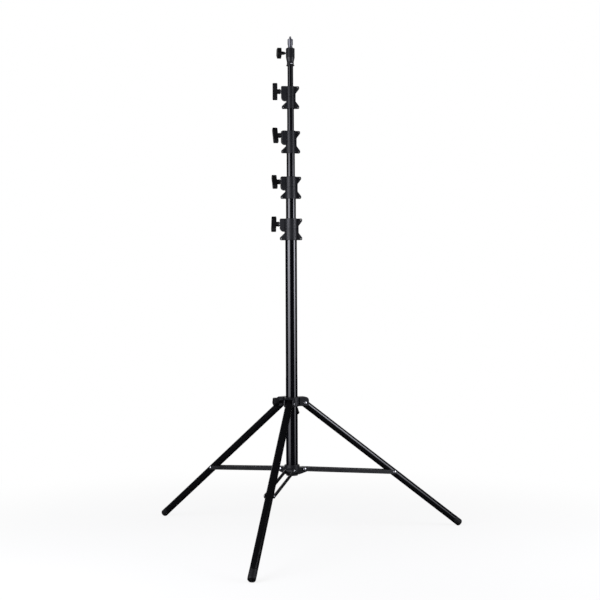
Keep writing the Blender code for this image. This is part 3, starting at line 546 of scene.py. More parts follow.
def swing_roughness(group, start, end, noise):
    """Lets the group's Roughness go up and down by Variation with a noise."""
    swing = add_node(group, "ShaderNodeMapRange", {"From Min": 0.3, "From Max": 0.7})
    for operation, limit in (("SUBTRACT", "To Min"), ("ADD", "To Max")):
        bound = add_node(group, "ShaderNodeMath", operation=operation)
        wire(
            group,
            (start, "Roughness", bound, 0),
            (start, "Variation", bound, 1),
            (bound, "Value", swing, limit),
        )
    wire(group, (noise, "Fac", swing, "Value"), (swing, "Result", end, "Roughness"))


def tint_by(group, start, end, first, second, colour):
    """Mixes the group's Color towards another, where two masks and Amount say so."""
    both = add_node(group, "ShaderNodeMath", operation="MULTIPLY")
    scaled = add_node(group, "ShaderNodeMath", operation="MULTIPLY", use_clamp=True)
    tint = add_node(group, "ShaderNodeMix", data_type="RGBA")
    wire(
        group,
        (first, "Result", both, 0),
        (second, "Result", both, 1),
        (both, "Value", scaled, 0),
        (start, "Amount", scaled, 1),
        (scaled, "Value", tint, "Factor"),
        (start, "Color", tint, "A"),
        (start, colour, tint, "B"),
        (tint, "Result", end, "Color"),
    )


def grain_group():
    """Fine moulded or cast grain: a height for Bump, and a roughness that varies with it."""
    group, start, end = new_group(
        "Surface Grain",
        [("Vector", None), ("Scale", 900.0), ("Roughness", 0.5), ("Variation", 0.08)],
        [("Height", "Float"), ("Roughness", "Float")],
    )
    fine = add_node(group, "ShaderNodeTexNoise", {"Detail": 3.0, "Roughness": 0.6})
    pits = add_node(group, "ShaderNodeTexVoronoi", feature="SMOOTH_F1")
    mix = add_node(group, "ShaderNodeMath", {1: 0.5}, operation="MULTIPLY_ADD")
    wide = add_node(group, "ShaderNodeTexNoise", {"Scale": 22.0, "Detail": 2.0})
    for texture in (fine, pits, wide):
        wire(group, (start, "Vector", texture, "Vector"))
    wire(
        group,
        (start, "Scale", fine, "Scale"),
        (start, "Scale", pits, "Scale"),
        (pits, "Distance", mix, 0),
        (fine, "Fac", mix, 2),
        (mix, "Value", end, "Height"),
    )
    swing_roughness(group, start, end, wide)


def dust_group():
    """A thin uneven film of dust over a colour, thicker on faces that look up."""
    group, start, end = new_group(
        "Dust Film",
        [
            ("Vector", None),
            ("Color", (0.5, 0.5, 0.5, 1.0)),
            ("Dust", (0.1, 0.1, 0.1, 1.0)),
            ("Amount", 0.05),
        ],
        [("Color", "Color")],
    )
    speckle = add_node(group, "ShaderNodeTexNoise", {"Scale": 60.0, "Detail": 6.0, "Roughness": 0.7})
    patch = add_node(group, "ShaderNodeMapRange", {"From Min": 0.42, "From Max": 0.75})
    normal = group.nodes.new("ShaderNodeNewGeometry")
    split = group.nodes.new("ShaderNodeSeparateXYZ")
    upward = add_node(
        group, "ShaderNodeMapRange", {"From Min": -0.2, "From Max": 1.0, "To Min": 0.25, "To Max": 1.0}
    )
    wire(
        group,
        (start, "Vector", speckle, "Vector"),
        (speckle, "Fac", patch, "Value"),
        (normal, "Normal", split, "Vector"),
        (split, "Z", upward, "Value"),
    )
    tint_by(group, start, end, patch, upward, "Dust")


def edge_group():
    """Paint rubbed thin along outer edges, broken up by noise."""
    group, start, end = new_group(
        "Edge Rub",
        [
            ("Vector", None),
            ("Color", (0.02, 0.02, 0.02, 1.0)),
            ("Worn", (0.2, 0.2, 0.2, 1.0)),
            ("Amount", 0.3),
        ],
        [("Color", "Color")],
    )
    geometry = group.nodes.new("ShaderNodeNewGeometry")
    crest = add_node(group, "ShaderNodeMapRange", {"From Min": 0.53, "From Max": 0.62})
    chips = add_node(group, "ShaderNodeTexNoise", {"Scale": 180.0, "Detail": 5.0, "Roughness": 0.65})
    broken = add_node(group, "ShaderNodeMapRange", {"From Min": 0.45, "From Max": 0.60})
    wire(
        group,
        (geometry, "Pointiness", crest, "Value"),
        (start, "Vector", chips, "Vector"),
        (chips, "Fac", broken, "Value"),
    )
    tint_by(group, start, end, crest, broken, "Worn")


def streak_group():
    """Drawn or turned metal: fine streaks along one stretched direction."""
    group, start, end = new_group(
        "Fine Streaks",
        [("Vector", None), ("Roughness", 0.25), ("Variation", 0.06)],
        [("Height", "Float"), ("Roughness", "Float")],
    )
    streaks = add_node(group, "ShaderNodeTexNoise", {"Scale": 1.0, "Detail": 4.0, "Roughness": 0.6})
    wire(group, (start, "Vector", streaks, "Vector"), (streaks, "Fac", end, "Height"))
    swing_roughness(group, start, end, streaks)


GROUP_MAKERS = {
    "Surface Grain": grain_group,
    "Dust Film": dust_group,
    "Edge Rub": edge_group,
    "Fine Streaks": streak_group,
}


def place_group(tree, mapping, name, values):
    """Puts a shared group in a material, on the coordinates of its mapping."""
    if name not in bpy.data.node_groups:
        GROUP_MAKERS[name]()
    node = tree.nodes.new("ShaderNodeGroup")
    node.node_tree = bpy.data.node_groups[name]
    for key, value in values.items():
        node.inputs[key].default_value = value
    wire(tree, (mapping, "Vector", node, "Vector"))
    return node


# Materials


def opaque(colour):
    return (colour[0], colour[1], colour[2], 1.0)


def shaded(name):
    """A new material with its node tree and shader."""
    material = bpy.data.materials.new(name)
    material.use_nodes = True
    tree = material.node_tree
    return material, tree, tree.nodes["Principled BSDF"]


def surface(name, colour, dust, texture, values, bump, bump_distance, rub=0.0):
    """A dusty colour, its edges rubbed lighter if asked, with a texture for its gloss and its bumps."""
    colours = settings().colours
    colour = getattr(colours, colour)
    material, tree, shader = shaded(name)
    place = tree.nodes.new("ShaderNodeTexCoord")
    mapping = tree.nodes.new("ShaderNodeMapping")
    grain = place_group(tree, mapping, texture, values)
    film = {"Color": opaque(colour), "Dust": opaque(colours.dust), "Amount": dust}
    coat = place_group(tree, mapping, "Dust Film", film)
    if rub > 0.0:
        worn = [min(1.0, 6.0 * channel + 0.05) for channel in colour]
        edge = place_group(tree, mapping, "Edge Rub", {"Worn": opaque(worn), "Amount": rub})
        wire(tree, (coat, "Color", edge, "Color"))
        coat = edge
    relief = add_node(tree, "ShaderNodeBump", {"Strength": bump, "Distance": bump_distance})
    wire(
        tree,
        (place, "Object", mapping, "Vector"),
        (coat, "Color", shader, "Base Color"),
        (grain, "Roughness", shader, "Roughness"),
        (grain, "Height", relief, "Height"),
        (relief, "Normal", shader, "Normal"),
    )
    return material, mapping, shader


def painted(name, colour, roughness, grain, bump, dust, rub=0.0, specular=0.5):
    """A paint or plastic: grain, uneven gloss, thin dust and, if asked, rubbed edges."""
    values = {"Scale": grain, "Roughness": roughness, "Variation": roughness * 0.12}
    material, _, shader = surface(name, colour, dust, "Surface Grain", values, bump, 0.1 * MM, rub)
    shader.inputs["Specular IOR Level"].default_value = specular
    return material


def bare_metal(name, colour, roughness, stretch, bump):
    """Turned or plated steel with fine streaks and a little dust."""
    values = {"Roughness": roughness, "Variation": roughness * 0.25}
    material, mapping, shader = surface(name, colour, 0.08, "Fine Streaks", values, bump, 0.02 * MM)
    mapping.inputs["Scale"].default_value = stretch
    shader.inputs["Metallic"].default_value = 1.0
    return material


# For each slot: the material's name, its colour, roughness, grain, bump, dust, rubbed edges and specular
PAINTS = {
    "gloss_black_tube": ("gloss_black_paint", "tube", 0.11, 500.0, 0.03, 0.01),
    "black_leg": ("satin_black_paint", "leg", 0.17, 600.0, 0.05, 0.02, 0.0, 0.45),
    "charcoal_casting": ("charcoal_casting_paint", "casting", 0.42, 1100.0, 0.30, 0.04, 0.15, 0.32),
    "black_brace": ("brace_paint", "brace", 0.36, 900.0, 0.15, 0.05, 0.15),
    "knob_plastic": ("knob_plastic", "knob", 0.5, 1600.0, 0.40, 0.02, 0.06, 0.2),
    "black_nylon": ("black_nylon", "knob", 0.55, 1200.0, 0.3, 0.06),
    "grey_nylon": ("grey_nylon", "nylon", 0.55, 1200.0, 0.3, 0.04),
    "foot_rubber": ("foot_rubber", "rubber", 0.6, 1300.0, 0.4, 0.03, 0.0, 0.3),
}
# For each slot: the material's name, its colour, roughness, the streaks' scale along X, Y and Z, and bump
METALS = {
    "steel_fastener": ("fastener_steel", "steel", 0.38, (700.0, 700.0, 700.0), 0.3),
    "bright_spigot": ("spigot_plating", "chrome", 0.42, (90.0, 90.0, 4000.0), 0.25),
}
FINISHES = {}


def finish_for(slot):
    """The one material of a slot, made when it is first asked for."""
    if slot not in FINISHES:
        FINISHES[slot] = painted(*PAINTS[slot]) if slot in PAINTS else bare_metal(*METALS[slot])
    return FINISHES[slot]


# Pieces


class LIGHTSTAND_OT_column_tubes(bpy.types.Operator):
    """The base tube and the four risers, smooth and round with softened rims"""

    bl_idname = "light_stand.column_tubes"
    bl_label = "Column Tubes"

    def execute(self, context):
        for level, node in enumerate(TUBES):
            foot, length, outer = tube_size(node)
            shape = turned(tube_wall(outer, 1.1 * MM, 0.0, length), settings().sizes.tube_sides)
            body = f"riser_{level}" if level else "base"
            place = Matrix.Translation(foot)
            add_piece(mesh_from(shape, node), f"{node}_painted", body, "gloss_black_tube", [node], place)
        return {"FINISHED"}


def tube_wall(outer, wall, low, high):
    """The profile of a tube's wall, with softened rims."""
    inner = outer - wall
    rim = settings().sizes.tube_rim
    return rounded([(outer, low, rim), (outer, high, rim), (inner, high, rim), (inner, low, rim)], 3)


class LIGHTSTAND_OT_clamp_collars(bpy.types.Operator):
    """The four clamp collars, each a grooved sleeve with a screw housing and three drilled ears"""

    bl_idname = "light_stand.clamp_collars"
    bl_label = "Clamp Collars"

    def execute(self, context):
        for level, clamp in enumerate(CLAMPS):
            node = f"{clamp}_collar"
            low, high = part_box(node)
            screw_point, screw_axis = joint_place(f"{clamp}_knob_turn")
            radii = (tube_radius(TUBES[level]), tube_radius(TUBES[level + 1]))
            mesh = collar_mesh(clamp, *radii, high.z - low.z, screw_point.z - low.z)
            place = axes_at(column_point(low.z), UP, screw_axis)
            add_piece(mesh, f"{node}_cast", clamp, "charcoal_casting", [node], place)
        return {"FINISHED"}


def collar_mesh(clamp, lower_radius, upper_radius, height, screw_height):
    """One collar about Z, foot at zero, its screw housing towards +X."""
    sizes = settings().sizes
    edge = sizes.casting_edge
    crease = 0.3 * MM
    outer = lower_radius + sizes.sleeve_wall
    seat = lower_radius + SEAT_GAP
    guide = upper_radius + SLIDE_GAP
    seat_depth = 23.0 * MM
    groove = height - 30.5 * MM
    groove_low = groove - 1.8 * MM
    waist = outer - 0.9 * MM
    profile = [
        (outer, 0.0, edge),
        (outer, groove_low, crease),
        (waist, groove_low, crease),
        (waist, groove, crease),
        (outer, groove, crease),
        (outer, height, edge),
        (guide, height, edge / 2),
        (guide, seat_depth),
        (seat, seat_depth),
        (seat, 0.0, edge / 2),
    ]
    sleeve = lathe(profile, 3, 72)

    tall, proud = [value * MM for value in HOUSINGS[clamp]]
    face = outer + proud
    core = guide + (outer - guide) / 2
    outline = [
        (core, height - tall),
        (face, height - tall, 11.0 * MM),
        (face, height, 3.5 * MM),
        (core, height),
    ]
    housing = slab(rounded(outline, 8), sizes.housing_width, 1.6 * edge)
    ears, openings = ear_shapes((seat + outer) / 2, outer, height)
    parts = [moved(shape, UPRIGHT) for shape in [housing] + ears]
    cutters = [moved(shape, UPRIGHT) for shape in openings]

    along_screw = axes_at(Vector((0.0, 0.0, screw_height)), SIDEWAYS, UP)
    shoe_hole = 6.3 * MM
    shoe_back = upper_radius + SEAT_GAP + 5.0 * MM
    cutters.append(moved(rod(shoe_hole, 0.0, shoe_back + SEAT_GAP), along_screw))
    cutters.append(moved(rod(SCREW_HOLE, shoe_back, face + 2.0 * MM), along_screw))
    return carved(sleeve, f"{clamp}_collar", parts, cutters)


def ear_shapes(inner, sleeve, height):
    """Flat ears in XY, one on the screw's side and a web with two on the other, and their openings."""
    sizes = settings().sizes
    thickness = sizes.ear_thickness
    outer = sleeve + 13.6 * MM
    rib = sleeve + 3.0 * MM
    tip = 7.8 * MM
    tall = 21.8 * MM
    corner = 3.6 * MM
    near = [(inner, 0.0), (outer, 0.0, corner), (outer, tip, corner), (inner, tall)]
    web = [
        (-inner, 0.0),
        (-outer, 0.0, corner),
        (-outer, tip, corner),
        (-rib, tall, corner),
        (-rib, height - tall, corner),
        (-outer, height - tip, corner),
        (-outer, height, corner),
        (-inner, height),
    ]
    ears = [slab(rounded(outline, 6), thickness, sizes.casting_edge) for outline in (near, web)]
    pocket_inner = sleeve + 0.8 * MM
    pocket_outer = outer - tip - 0.4 * MM
    holes = []
    pockets = []
    for side, flat, away in ((1, 0.0, 1), (-1, 0.0, 1), (-1, height, -1)):
        hole = rod(1.1 * MM, -2 * thickness, 2 * thickness, 20)
        holes.append(shifted(hole, side * (outer - tip / 2), flat + away * tip / 2, 0.0))
        low = flat + away * 2.0 * MM
        triangle = [
            (side * pocket_inner, low, 0.6 * MM),
            (side * pocket_outer, low, 0.9 * MM),
            (side * pocket_outer, low + away * 4.2 * MM, 1.2 * MM),
            (side * pocket_inner, low + away * 12.5 * MM, 0.6 * MM),
        ]
        for face in (-thickness / 2, thickness / 2):
            pockets.append(shifted(slab(rounded(triangle, 4), 1.8 * MM), 0.0, 0.0, face))
    return ears, holes + pockets


class LIGHTSTAND_OT_clamp_knobs(bpy.types.Operator):
    """The four T-knobs with their clamp screws"""

    bl_idname = "light_stand.clamp_knobs"
    bl_label = "Clamp Knobs"

    def execute(self, context):
        for clamp in CLAMPS:
            knob, screw = f"{clamp}_t_knob", f"{clamp}_clamp_screw"
            body = f"{clamp}_clamp"
            point, axis = joint_place(f"{clamp}_knob_turn")
            place = axes_at(point, axis, UP)
            back, front = span_along(knob, point, axis)
            knob_place = place @ Matrix.Rotation(bar_turn(knob, place), 4, "Z")
            mesh = t_knob_mesh(knob, back, front)
            add_piece(mesh, f"{knob}_moulded", body, "knob_plastic", [knob], knob_place)
            mesh = clamp_screw_mesh(screw, point, axis, back)
            add_piece(mesh, f"{screw}_turned", body, "steel_fastener", [screw], place)
        return {"FINISHED"}


def t_knob_mesh(name, back, front):
    """A T-handle along X on a round neck about Z, from back to front."""
    thickness = 14.5 * MM
    half_length = 25.25 * MM
    half_width = 8.0 * MM
    waist = 7.0 * MM
    shoulder = 0.45 * half_length
    corner = 6.0 * MM
    bend = 5.0 * MM
    outline = [
        (-half_length, -half_width, corner),
        (-shoulder, -half_width, bend),
        (0.0, -waist, 4 * bend),
        (shoulder, -half_width, bend),
        (half_length, -half_width, corner),
    ]
    outline += [(-x, -y, radius) for x, y, radius in outline]
    middle = front - thickness / 2
    bar = shifted(slab(rounded(outline, 6), thickness, settings().sizes.knob_edge, 5), 0.0, 0.0, middle)
    neck = lathe(
        [
            (0.0, back),
            (7.7 * MM, back, 0.8 * MM),
            (7.7 * MM, back + 3.0 * MM, 0.4 * MM),
            (7.0 * MM, back + 3.6 * MM, 0.4 * MM),
            (7.4 * MM, middle),
            (0.0, middle),
        ],
        4,
        48,
    )
    return carved(bar, name, [neck], [knob_dish(front, 0.8 * MM, 4.6 * MM), knob_bore(SCREW_HOLE, back)])


def knob_dish(front, depth, radius):
    """What is cut from a knob's face: a round dish with a sloping rim."""
    floor = front - depth
    return turned([(0.0, floor), (radius, floor), (radius + 0.6 * MM, front + MM), (0.0, front + MM)], 40)


def knob_bore(radius, back):
    """What is cut from a knob's back: a blind hole for the end of its screw."""
    return rod(radius, back - MM, back + 8.3 * MM)


def clamp_screw_mesh(node, point, axis, knob_back):
    """A clamp screw along Z: pointed tip, bare thread, thrust collar and the end inside the knob."""
    tip, end = span_along(node, point, axis)
    radius = 4.0 * MM
    collar = 6.2 * MM
    edge = 0.3 * MM
    thread_depth = 0.5 * MM
    collar_high = knob_back - SEAT_GAP
    collar_low = collar_high - 2.0 * MM
    thread_high = collar_low - 0.5 * MM
    pitch = settings().sizes.thread_pitch
    profile = [(0.0, tip), (radius - 2 * edge, tip)]
    profile += ring_thread(radius, thread_depth, pitch, tip + edge, thread_high)
    profile += [
        (radius - edge, thread_high),
        (radius - edge, collar_low),
        (collar, collar_low, edge),
        (collar, collar_high, edge),
        (radius, collar_high),
        (radius, end, edge),
        (0.0, end),
    ]
    return mesh_from(lathe(profile, 3, 40), node)


class LIGHTSTAND_OT_head(bpy.types.Operator):
    """The spigot socket on the top riser, with its cross pin, spigot, knob and screw"""

    bl_idname = "light_stand.head"
    bl_label = "Spigot Head"

    def execute(self, context):
        low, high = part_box("spigot_socket")
        place = axes_at(column_point(low.z), UP, SIDEWAYS)
        mesh = socket_mesh(high.z - low.z, place)
        add_piece(mesh, "spigot_socket_cast", "riser_4", "charcoal_casting", ["spigot_socket"], place)
        self.add_pin("socket_cross_pin")
        low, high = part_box("top_spigot")
        mesh = spigot_mesh(low.z, high.z)
        place = Matrix.Translation(column_point(0.0))
        add_piece(mesh, "top_spigot_plated", "spigot", "bright_spigot", ["top_spigot"], place)
        self.add_knob()
        return {"FINISHED"}

    def add_pin(self, node):
        centre, direction, half = pin_line(node)
        crown = 0.7 * MM
        mesh = mesh_from(turned(mirrored(dome(2.5 * MM, half - crown, crown)), 32), node)
        place = axes_at(centre, direction, UP)
        add_piece(mesh, f"{node}_steel", "riser_4", "steel_fastener", [node], place)

    def add_knob(self):
        point, axis = joint_place("socket_knob_turn")
        place = axes_at(point, axis, -UP)
        back, front = span_along("socket_knob", point, axis)
        mesh = lobed_knob_mesh("socket_knob", back, front, 16.6 * MM, 10.5 * MM, SMALL_SCREW_HOLE)
        add_piece(mesh, "socket_knob_moulded", "socket_clamp", "knob_plastic", ["socket_knob"], place)
        tip, end = span_along("socket_screw", point, axis)
        radius = 3.0 * MM
        edge = 0.4 * MM
        pitch = settings().sizes.thread_pitch
        profile = [(0.0, tip), (radius - 2 * edge, tip)]
        profile += ring_thread(radius, 0.45 * MM, pitch, tip + edge, end - edge)
        profile += [(radius - 2 * edge, end), (0.0, end)]
        mesh = mesh_from(turned(profile, 32), "socket_screw")
        add_piece(mesh, "socket_screw_turned", "socket_clamp", "steel_fastener", ["socket_screw"], place)


def pin_line(node):
    """A level pin's centre, direction and half length, read from its node."""
    centre = middle_of(node)
    turn = bar_turn(node, Matrix())
    direction = Vector((math.cos(turn), math.sin(turn), 0.0))
    far = max(points_of(node), key=lambda point: (point - centre).to_2d().length)
    return centre, direction, abs((far - centre).dot(direction))


def dome(radius, low, height):
    """The profile of a domed end, from its crown on the axis down to its rim."""
    turns = [math.pi / 2 * step / 6 for step in range(7)]
    return [(radius * math.sin(turn), low + height * math.cos(turn)) for turn in turns]


def mirrored(profile):
    """The profile of a piece with two like ends, from that of its upper end."""
    return profile + [(across, -along) for across, along in reversed(profile)]


def socket_mesh(height, place):
    """The socket about Z, foot at zero: lip, neck, taper and straight barrel, bored from both ends."""
    edge = settings().sizes.casting_edge
    lip = 12.2 * MM
    lip_top = 2.6 * MM
    lip_edge = 0.5 * MM
    neck = 10.4 * MM
    barrel = 13.1 * MM
    tube_hole = tube_radius("riser_4_tube") + SEAT_GAP
    spigot_hole = 8.3 * MM
    web_hole = 5.0 * MM
    web_low = 22.0 * MM
    web_high = height - 28.0 * MM
    profile = [
        (lip, 0.0, lip_edge),
        (lip, lip_top, lip_edge),
        (neck, lip_top, lip_edge),
        (neck, 12.0 * MM, 2.0 * MM),
        (barrel, 24.2 * MM, 4.0 * MM),
        (barrel, height, 2.2 * edge),
        (spigot_hole, height, edge / 2),
        (spigot_hole, web_high),
        (web_hole, web_high),
        (web_hole, web_low),
        (tube_hole, web_low),
        (tube_hole, 0.0, edge / 3),
    ]
    inverse = place.inverted()
    point, axis = joint_place("socket_knob_turn")
    screw = moved(rod(SMALL_SCREW_HOLE, 0.0, 2 * barrel), inverse @ axes_at(point, axis, UP))
    centre, direction, half = pin_line("socket_cross_pin")
    pin = moved(rod(2.8 * MM, -1.5 * half, 1.5 * half), inverse @ axes_at(centre, direction, UP))
    recess = block((barrel - 0.8 * MM, -4.0 * MM, -7.5 * MM), (2 * barrel, 4.0 * MM, 7.5 * MM))
    round_rims(recess, 0.6 * MM, 3)
    moved(recess, Matrix.Rotation(math.radians(296.0), 4, "Z"))
    shifted(recess, 0.0, 0.0, (inverse @ point).z)
    return carved(lathe(profile, 5, 72), "spigot_socket", [], [screw, pin, recess])


def spigot_mesh(low, high):
    """The reversible spigot about Z between its world heights, with both studs threaded."""
    pitch = settings().sizes.thread_pitch
    body = 8.0 * MM
    groove = 6.6 * MM
    stud = 3.1 * MM
    lower_stud = 4.7 * MM
    foot = low + 8.0 * MM
    shoulder = high - 7.0 * MM
    mouth = shoulder - 27.8 * MM
    edge = 0.8 * MM
    crease = 0.4 * MM
    bevel = 1.8 * MM
    relief = 0.5 * MM
    profile = [(0.0, low), (lower_stud - edge, low)]
    profile += ring_thread(lower_stud, 0.7 * MM, 1.5 * pitch, low + relief, foot - relief)
    profile += [
        (lower_stud - edge, foot),
        (body, foot, edge),
        (body, mouth + 2.0 * MM, crease),
        (groove, mouth + 3.5 * MM, crease),
        (groove, mouth + 8.5 * MM, crease),
        (body, mouth + 10.0 * MM, crease),
        (body, shoulder - bevel, crease),
        (body - bevel, shoulder, crease),
        (stud - relief, shoulder),
    ]
    profile += ring_thread(stud, 0.5 * MM, 1.2 * pitch, shoulder + relief, high - relief)
    profile += [(stud - relief, high), (0.0, high)]
    return mesh_from(lathe(profile, 4, 64), "top_spigot")


def lobed_knob_mesh(name, back, front, radius, hub_length, bore, hub=5.6 * MM):
    """A five-lobed knob on a tapered hub about Z, with a dished cap and a bore for its screw."""
    hub_foot = bore + 1.3 * MM
    lobes = 5
    depth = 2.5 * MM
    steps = 80
    thickness = front - back - hub_length
    outline = []
    for step in range(steps):
        turn = 2 * math.pi * step / steps
        reach = radius - depth * (1 - math.cos(lobes * turn)) / 2
        outline.append((reach * math.cos(turn), reach * math.sin(turn)))
    head = shifted(slab(outline, thickness, 1.8 * MM, 4), 0.0, 0.0, front - thickness / 2)
    neck = lathe(
        [
            (0.0, back),
            (hub_foot, back, 0.5 * MM),
            (hub_foot, back + 1.5 * MM, 1.0 * MM),
            (hub, front - thickness),
            (hub, front - 0.7 * thickness),
            (0.0, front - 0.7 * thickness),
        ],
        3,
        40,
    )
    return carved(head, name, [neck], [knob_dish(front, 0.9 * MM, 0.45 * radius), knob_bore(bore, back)])


class LIGHTSTAND_OT_spider(bpy.types.Operator):
    """The sliding spider with its leg rivets, lock screw and lock knob"""

    bl_idname = "light_stand.spider"
    bl_label = "Leg Spider"

    def execute(self, context):
        pivots = [joint_place(f"leg_{leg}_fold")[0] for leg in LEGS]
        place = axes_at(column_point(pivots[0].z), UP, SIDEWAYS)
        mesh = spider_mesh(place, pivots)
        add_piece(mesh, "leg_spider_cast", "spider", "charcoal_casting", ["leg_spider"], place)
        for leg in LEGS:
            add_rivet(f"leg_{leg}_pivot_rivet", "spider", SPIDER_HALF)
        self.add_lock()
        self.add_side_knob(pivots[LEGS.index("right")])
        return {"FINISHED"}

    def add_side_knob(self, right_pivot):
        """The small knob opposite the right leg, which stays still."""
        azimuth = around_column(right_pivot)[0] + math.pi
        point = column_point(right_pivot.z + 5.5 * MM)
        place = axes_at(point, Vector((math.cos(azimuth), math.sin(azimuth), 0.0)), -UP)
        back, front = 21.5 * MM, 57.0 * MM
        hub_length = front - back - 15.0 * MM
        bore, hub = 2.0 * MM, 5.0 * MM
        mesh = lobed_knob_mesh("spider_side_knob", back, front, 13.8 * MM, hub_length, bore, hub)
        add_piece(mesh, "spider_side_knob_moulded", "spider", "knob_plastic", [], place)

    def add_lock(self):
        knob, screw = "spider_lock_knob", "spider_lock_screw"
        point, axis = joint_place("spider_knob_turn")
        place = axes_at(point, axis, -UP)
        back, front = span_along(knob, point, axis)
        mesh = lobed_knob_mesh(knob, back, front, 14.6 * MM, 7.0 * MM, SCREW_HOLE)
        add_piece(mesh, f"{knob}_moulded", "spider_clamp", "knob_plastic", [knob], place)
        mesh = clamp_screw_mesh(screw, point, axis, back)
        add_piece(mesh, f"{screw}_turned", "spider_clamp", "steel_fastener", [screw], place)


def around_column(point):
    """A point's direction from the column, as an angle about Z, and its distance from the axis."""
    away = point - column_point(point.z)
    return math.atan2(away.y, away.x), away.length


def lug_shapes(outline, thickness, edge, azimuth, reach):
    """A lug that stands out from the column, and what is drilled through it for the rivet at its reach."""
    turn = Matrix.Rotation(azimuth, 4, "Z")
    lug = moved(slab(rounded(outline, 8), thickness, edge), turn @ UPRIGHT)
    across = turn @ Matrix.Translation((reach, 0.0, 0.0)) @ UPRIGHT
    return lug, moved(rod(RIVET_HOLE, -thickness, thickness), across)


def spider_mesh(place, pivots):
    """The spider about Z with the pivots at height zero: hub, three clevises and the lock boss."""
    edge = settings().sizes.casting_edge
    low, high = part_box("leg_spider")
    middle = place.translation.z
    top = high.z - middle
    hub_low = -9.0 * MM
    bore = tube_radius("base_tube") + SLIDE_GAP
    hub = bore + 4.6 * MM
    end = 49.6 * MM
    inner_face = 11.4 * MM
    roof = 5.0 * MM
    lug_inset = 0.12 * MM
    lug_root = bore + 2.3 * MM
    body = lathe([(0.0, hub_low), (hub, hub_low, edge), (hub, top, edge), (0.0, top)], 3, 72)
    outline = [
        (lug_root, hub_low + lug_inset),
        (end, hub_low + lug_inset, 7.0 * MM),
        (end, top - lug_inset, 11.0 * MM),
        (lug_root, top - lug_inset),
    ]
    parts = []
    cutters = []
    for pivot in pivots:
        azimuth, reach = around_column(pivot)
        lug, hole = lug_shapes(outline, 2 * SPIDER_HALF, 1.2 * edge, azimuth, reach)
        slot = block((hub + 0.4 * MM, -inner_face, 2 * hub_low), (2 * end, inner_face, top - roof))
        parts.append(lug)
        cutters += [moved(slot, Matrix.Rotation(azimuth, 4, "Z")), hole]

    lock_point, lock_axis = joint_place("spider_knob_turn")
    boss_end = 30.0 * MM
    boss_root = bore - 4.6 * MM
    boss_low = low.z - middle
    boss = [
        (boss_root, boss_low),
        (boss_end, boss_low, 4.0 * MM),
        (boss_end, boss_low + 18.0 * MM, 3.0 * MM),
        (hub, top / 2),
        (boss_root, top / 2),
    ]
    lock_turn = Matrix.Rotation(math.atan2(lock_axis.y, lock_axis.x), 4, "Z")
    parts.append(moved(slab(rounded(boss, 6), 17.0 * MM, 1.2 * edge), lock_turn @ UPRIGHT))
    cutters.append(rod(bore, 2 * boss_low, 2 * top, 80))
    along_lock = place.inverted() @ axes_at(lock_point, lock_axis, UP)
    cutters.append(moved(rod(SCREW_HOLE, 0.0, 2 * boss_end), along_lock))
    return carved(body, "leg_spider", parts, cutters)


def rivet_head(half):
    """The profile of a rivet's domed end, from its crown down to its shank, for half its grip."""
    seat = half + SEAT_GAP
    return dome(RIVET_HEAD, seat, RIVET_CROWN) + [(RIVET_HEAD, seat), (RIVET_SHANK, seat)]


def add_rivet(node, body, half):
    """A rivet with two heads across its radius from the column."""
    centre = middle_of(node)
    radial = (centre - column_point(centre.z)).normalized()
    mesh = mesh_from(turned(mirrored(rivet_head(half)), 32), node)
    place = axes_at(centre, UP.cross(radial), UP)
    add_piece(mesh, f"{node}_steel", body, "steel_fastener", [node], place)


class LIGHTSTAND_OT_lower_collar(bpy.types.Operator):
    """The collar at the foot of the base tube, with its three tongues and brace rivets"""

    bl_idname = "light_stand.lower_collar"
    bl_label = "Lower Collar"

    def execute(self, context):
        pivots = [joint_place(f"brace_{leg}_fold")[0] for leg in LEGS]
        place = axes_at(column_point(pivots[0].z), UP, SIDEWAYS)
        mesh = lower_collar_mesh(place.translation.z, pivots)
        add_piece(mesh, "lower_collar_cast", "base", "charcoal_casting", ["lower_collar"], place)
        for leg in LEGS:
            add_rivet(f"brace_{leg}_pivot_rivet", "base", 13.8 * MM)
        return {"FINISHED"}


def lower_collar_mesh(middle, pivots):
    """The lower collar about Z with the brace pivots at height zero, which is middle in the world."""
    edge = settings().sizes.casting_edge
    low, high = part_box("lower_collar")
    top = high.z - middle
    root_low = low.z - middle
    ring = 22.6 * MM
    ring_low = -7.8 * MM
    bore = tube_radius("base_tube") + SEAT_GAP
    tongue_root = 0.75 * bore
    tongue_top = 6.2 * MM
    tongue_low = -6.8 * MM
    tongue_end = 6.0 * MM
    body = lathe([(0.0, ring_low), (ring, ring_low, edge), (ring, top, edge), (0.0, top)], 3, 72)
    parts = []
    cutters = [rod(bore, 2 * root_low, 2 * top, 72)]
    for pivot in pivots:
        azimuth, reach = around_column(pivot)
        end = reach + 11.0 * MM
        outline = [
            (tongue_root, tongue_top),
            (tongue_root, root_low),
            (19.5 * MM, root_low, 0.6 * MM),
            (end, tongue_low, tongue_end),
            (end, tongue_top, tongue_end),
        ]
        tongue, hole = lug_shapes(outline, 22.2 * MM, edge, azimuth, reach)
        parts.append(tongue)
        cutters.append(hole)
    return carved(body, "lower_collar", parts, cutters)


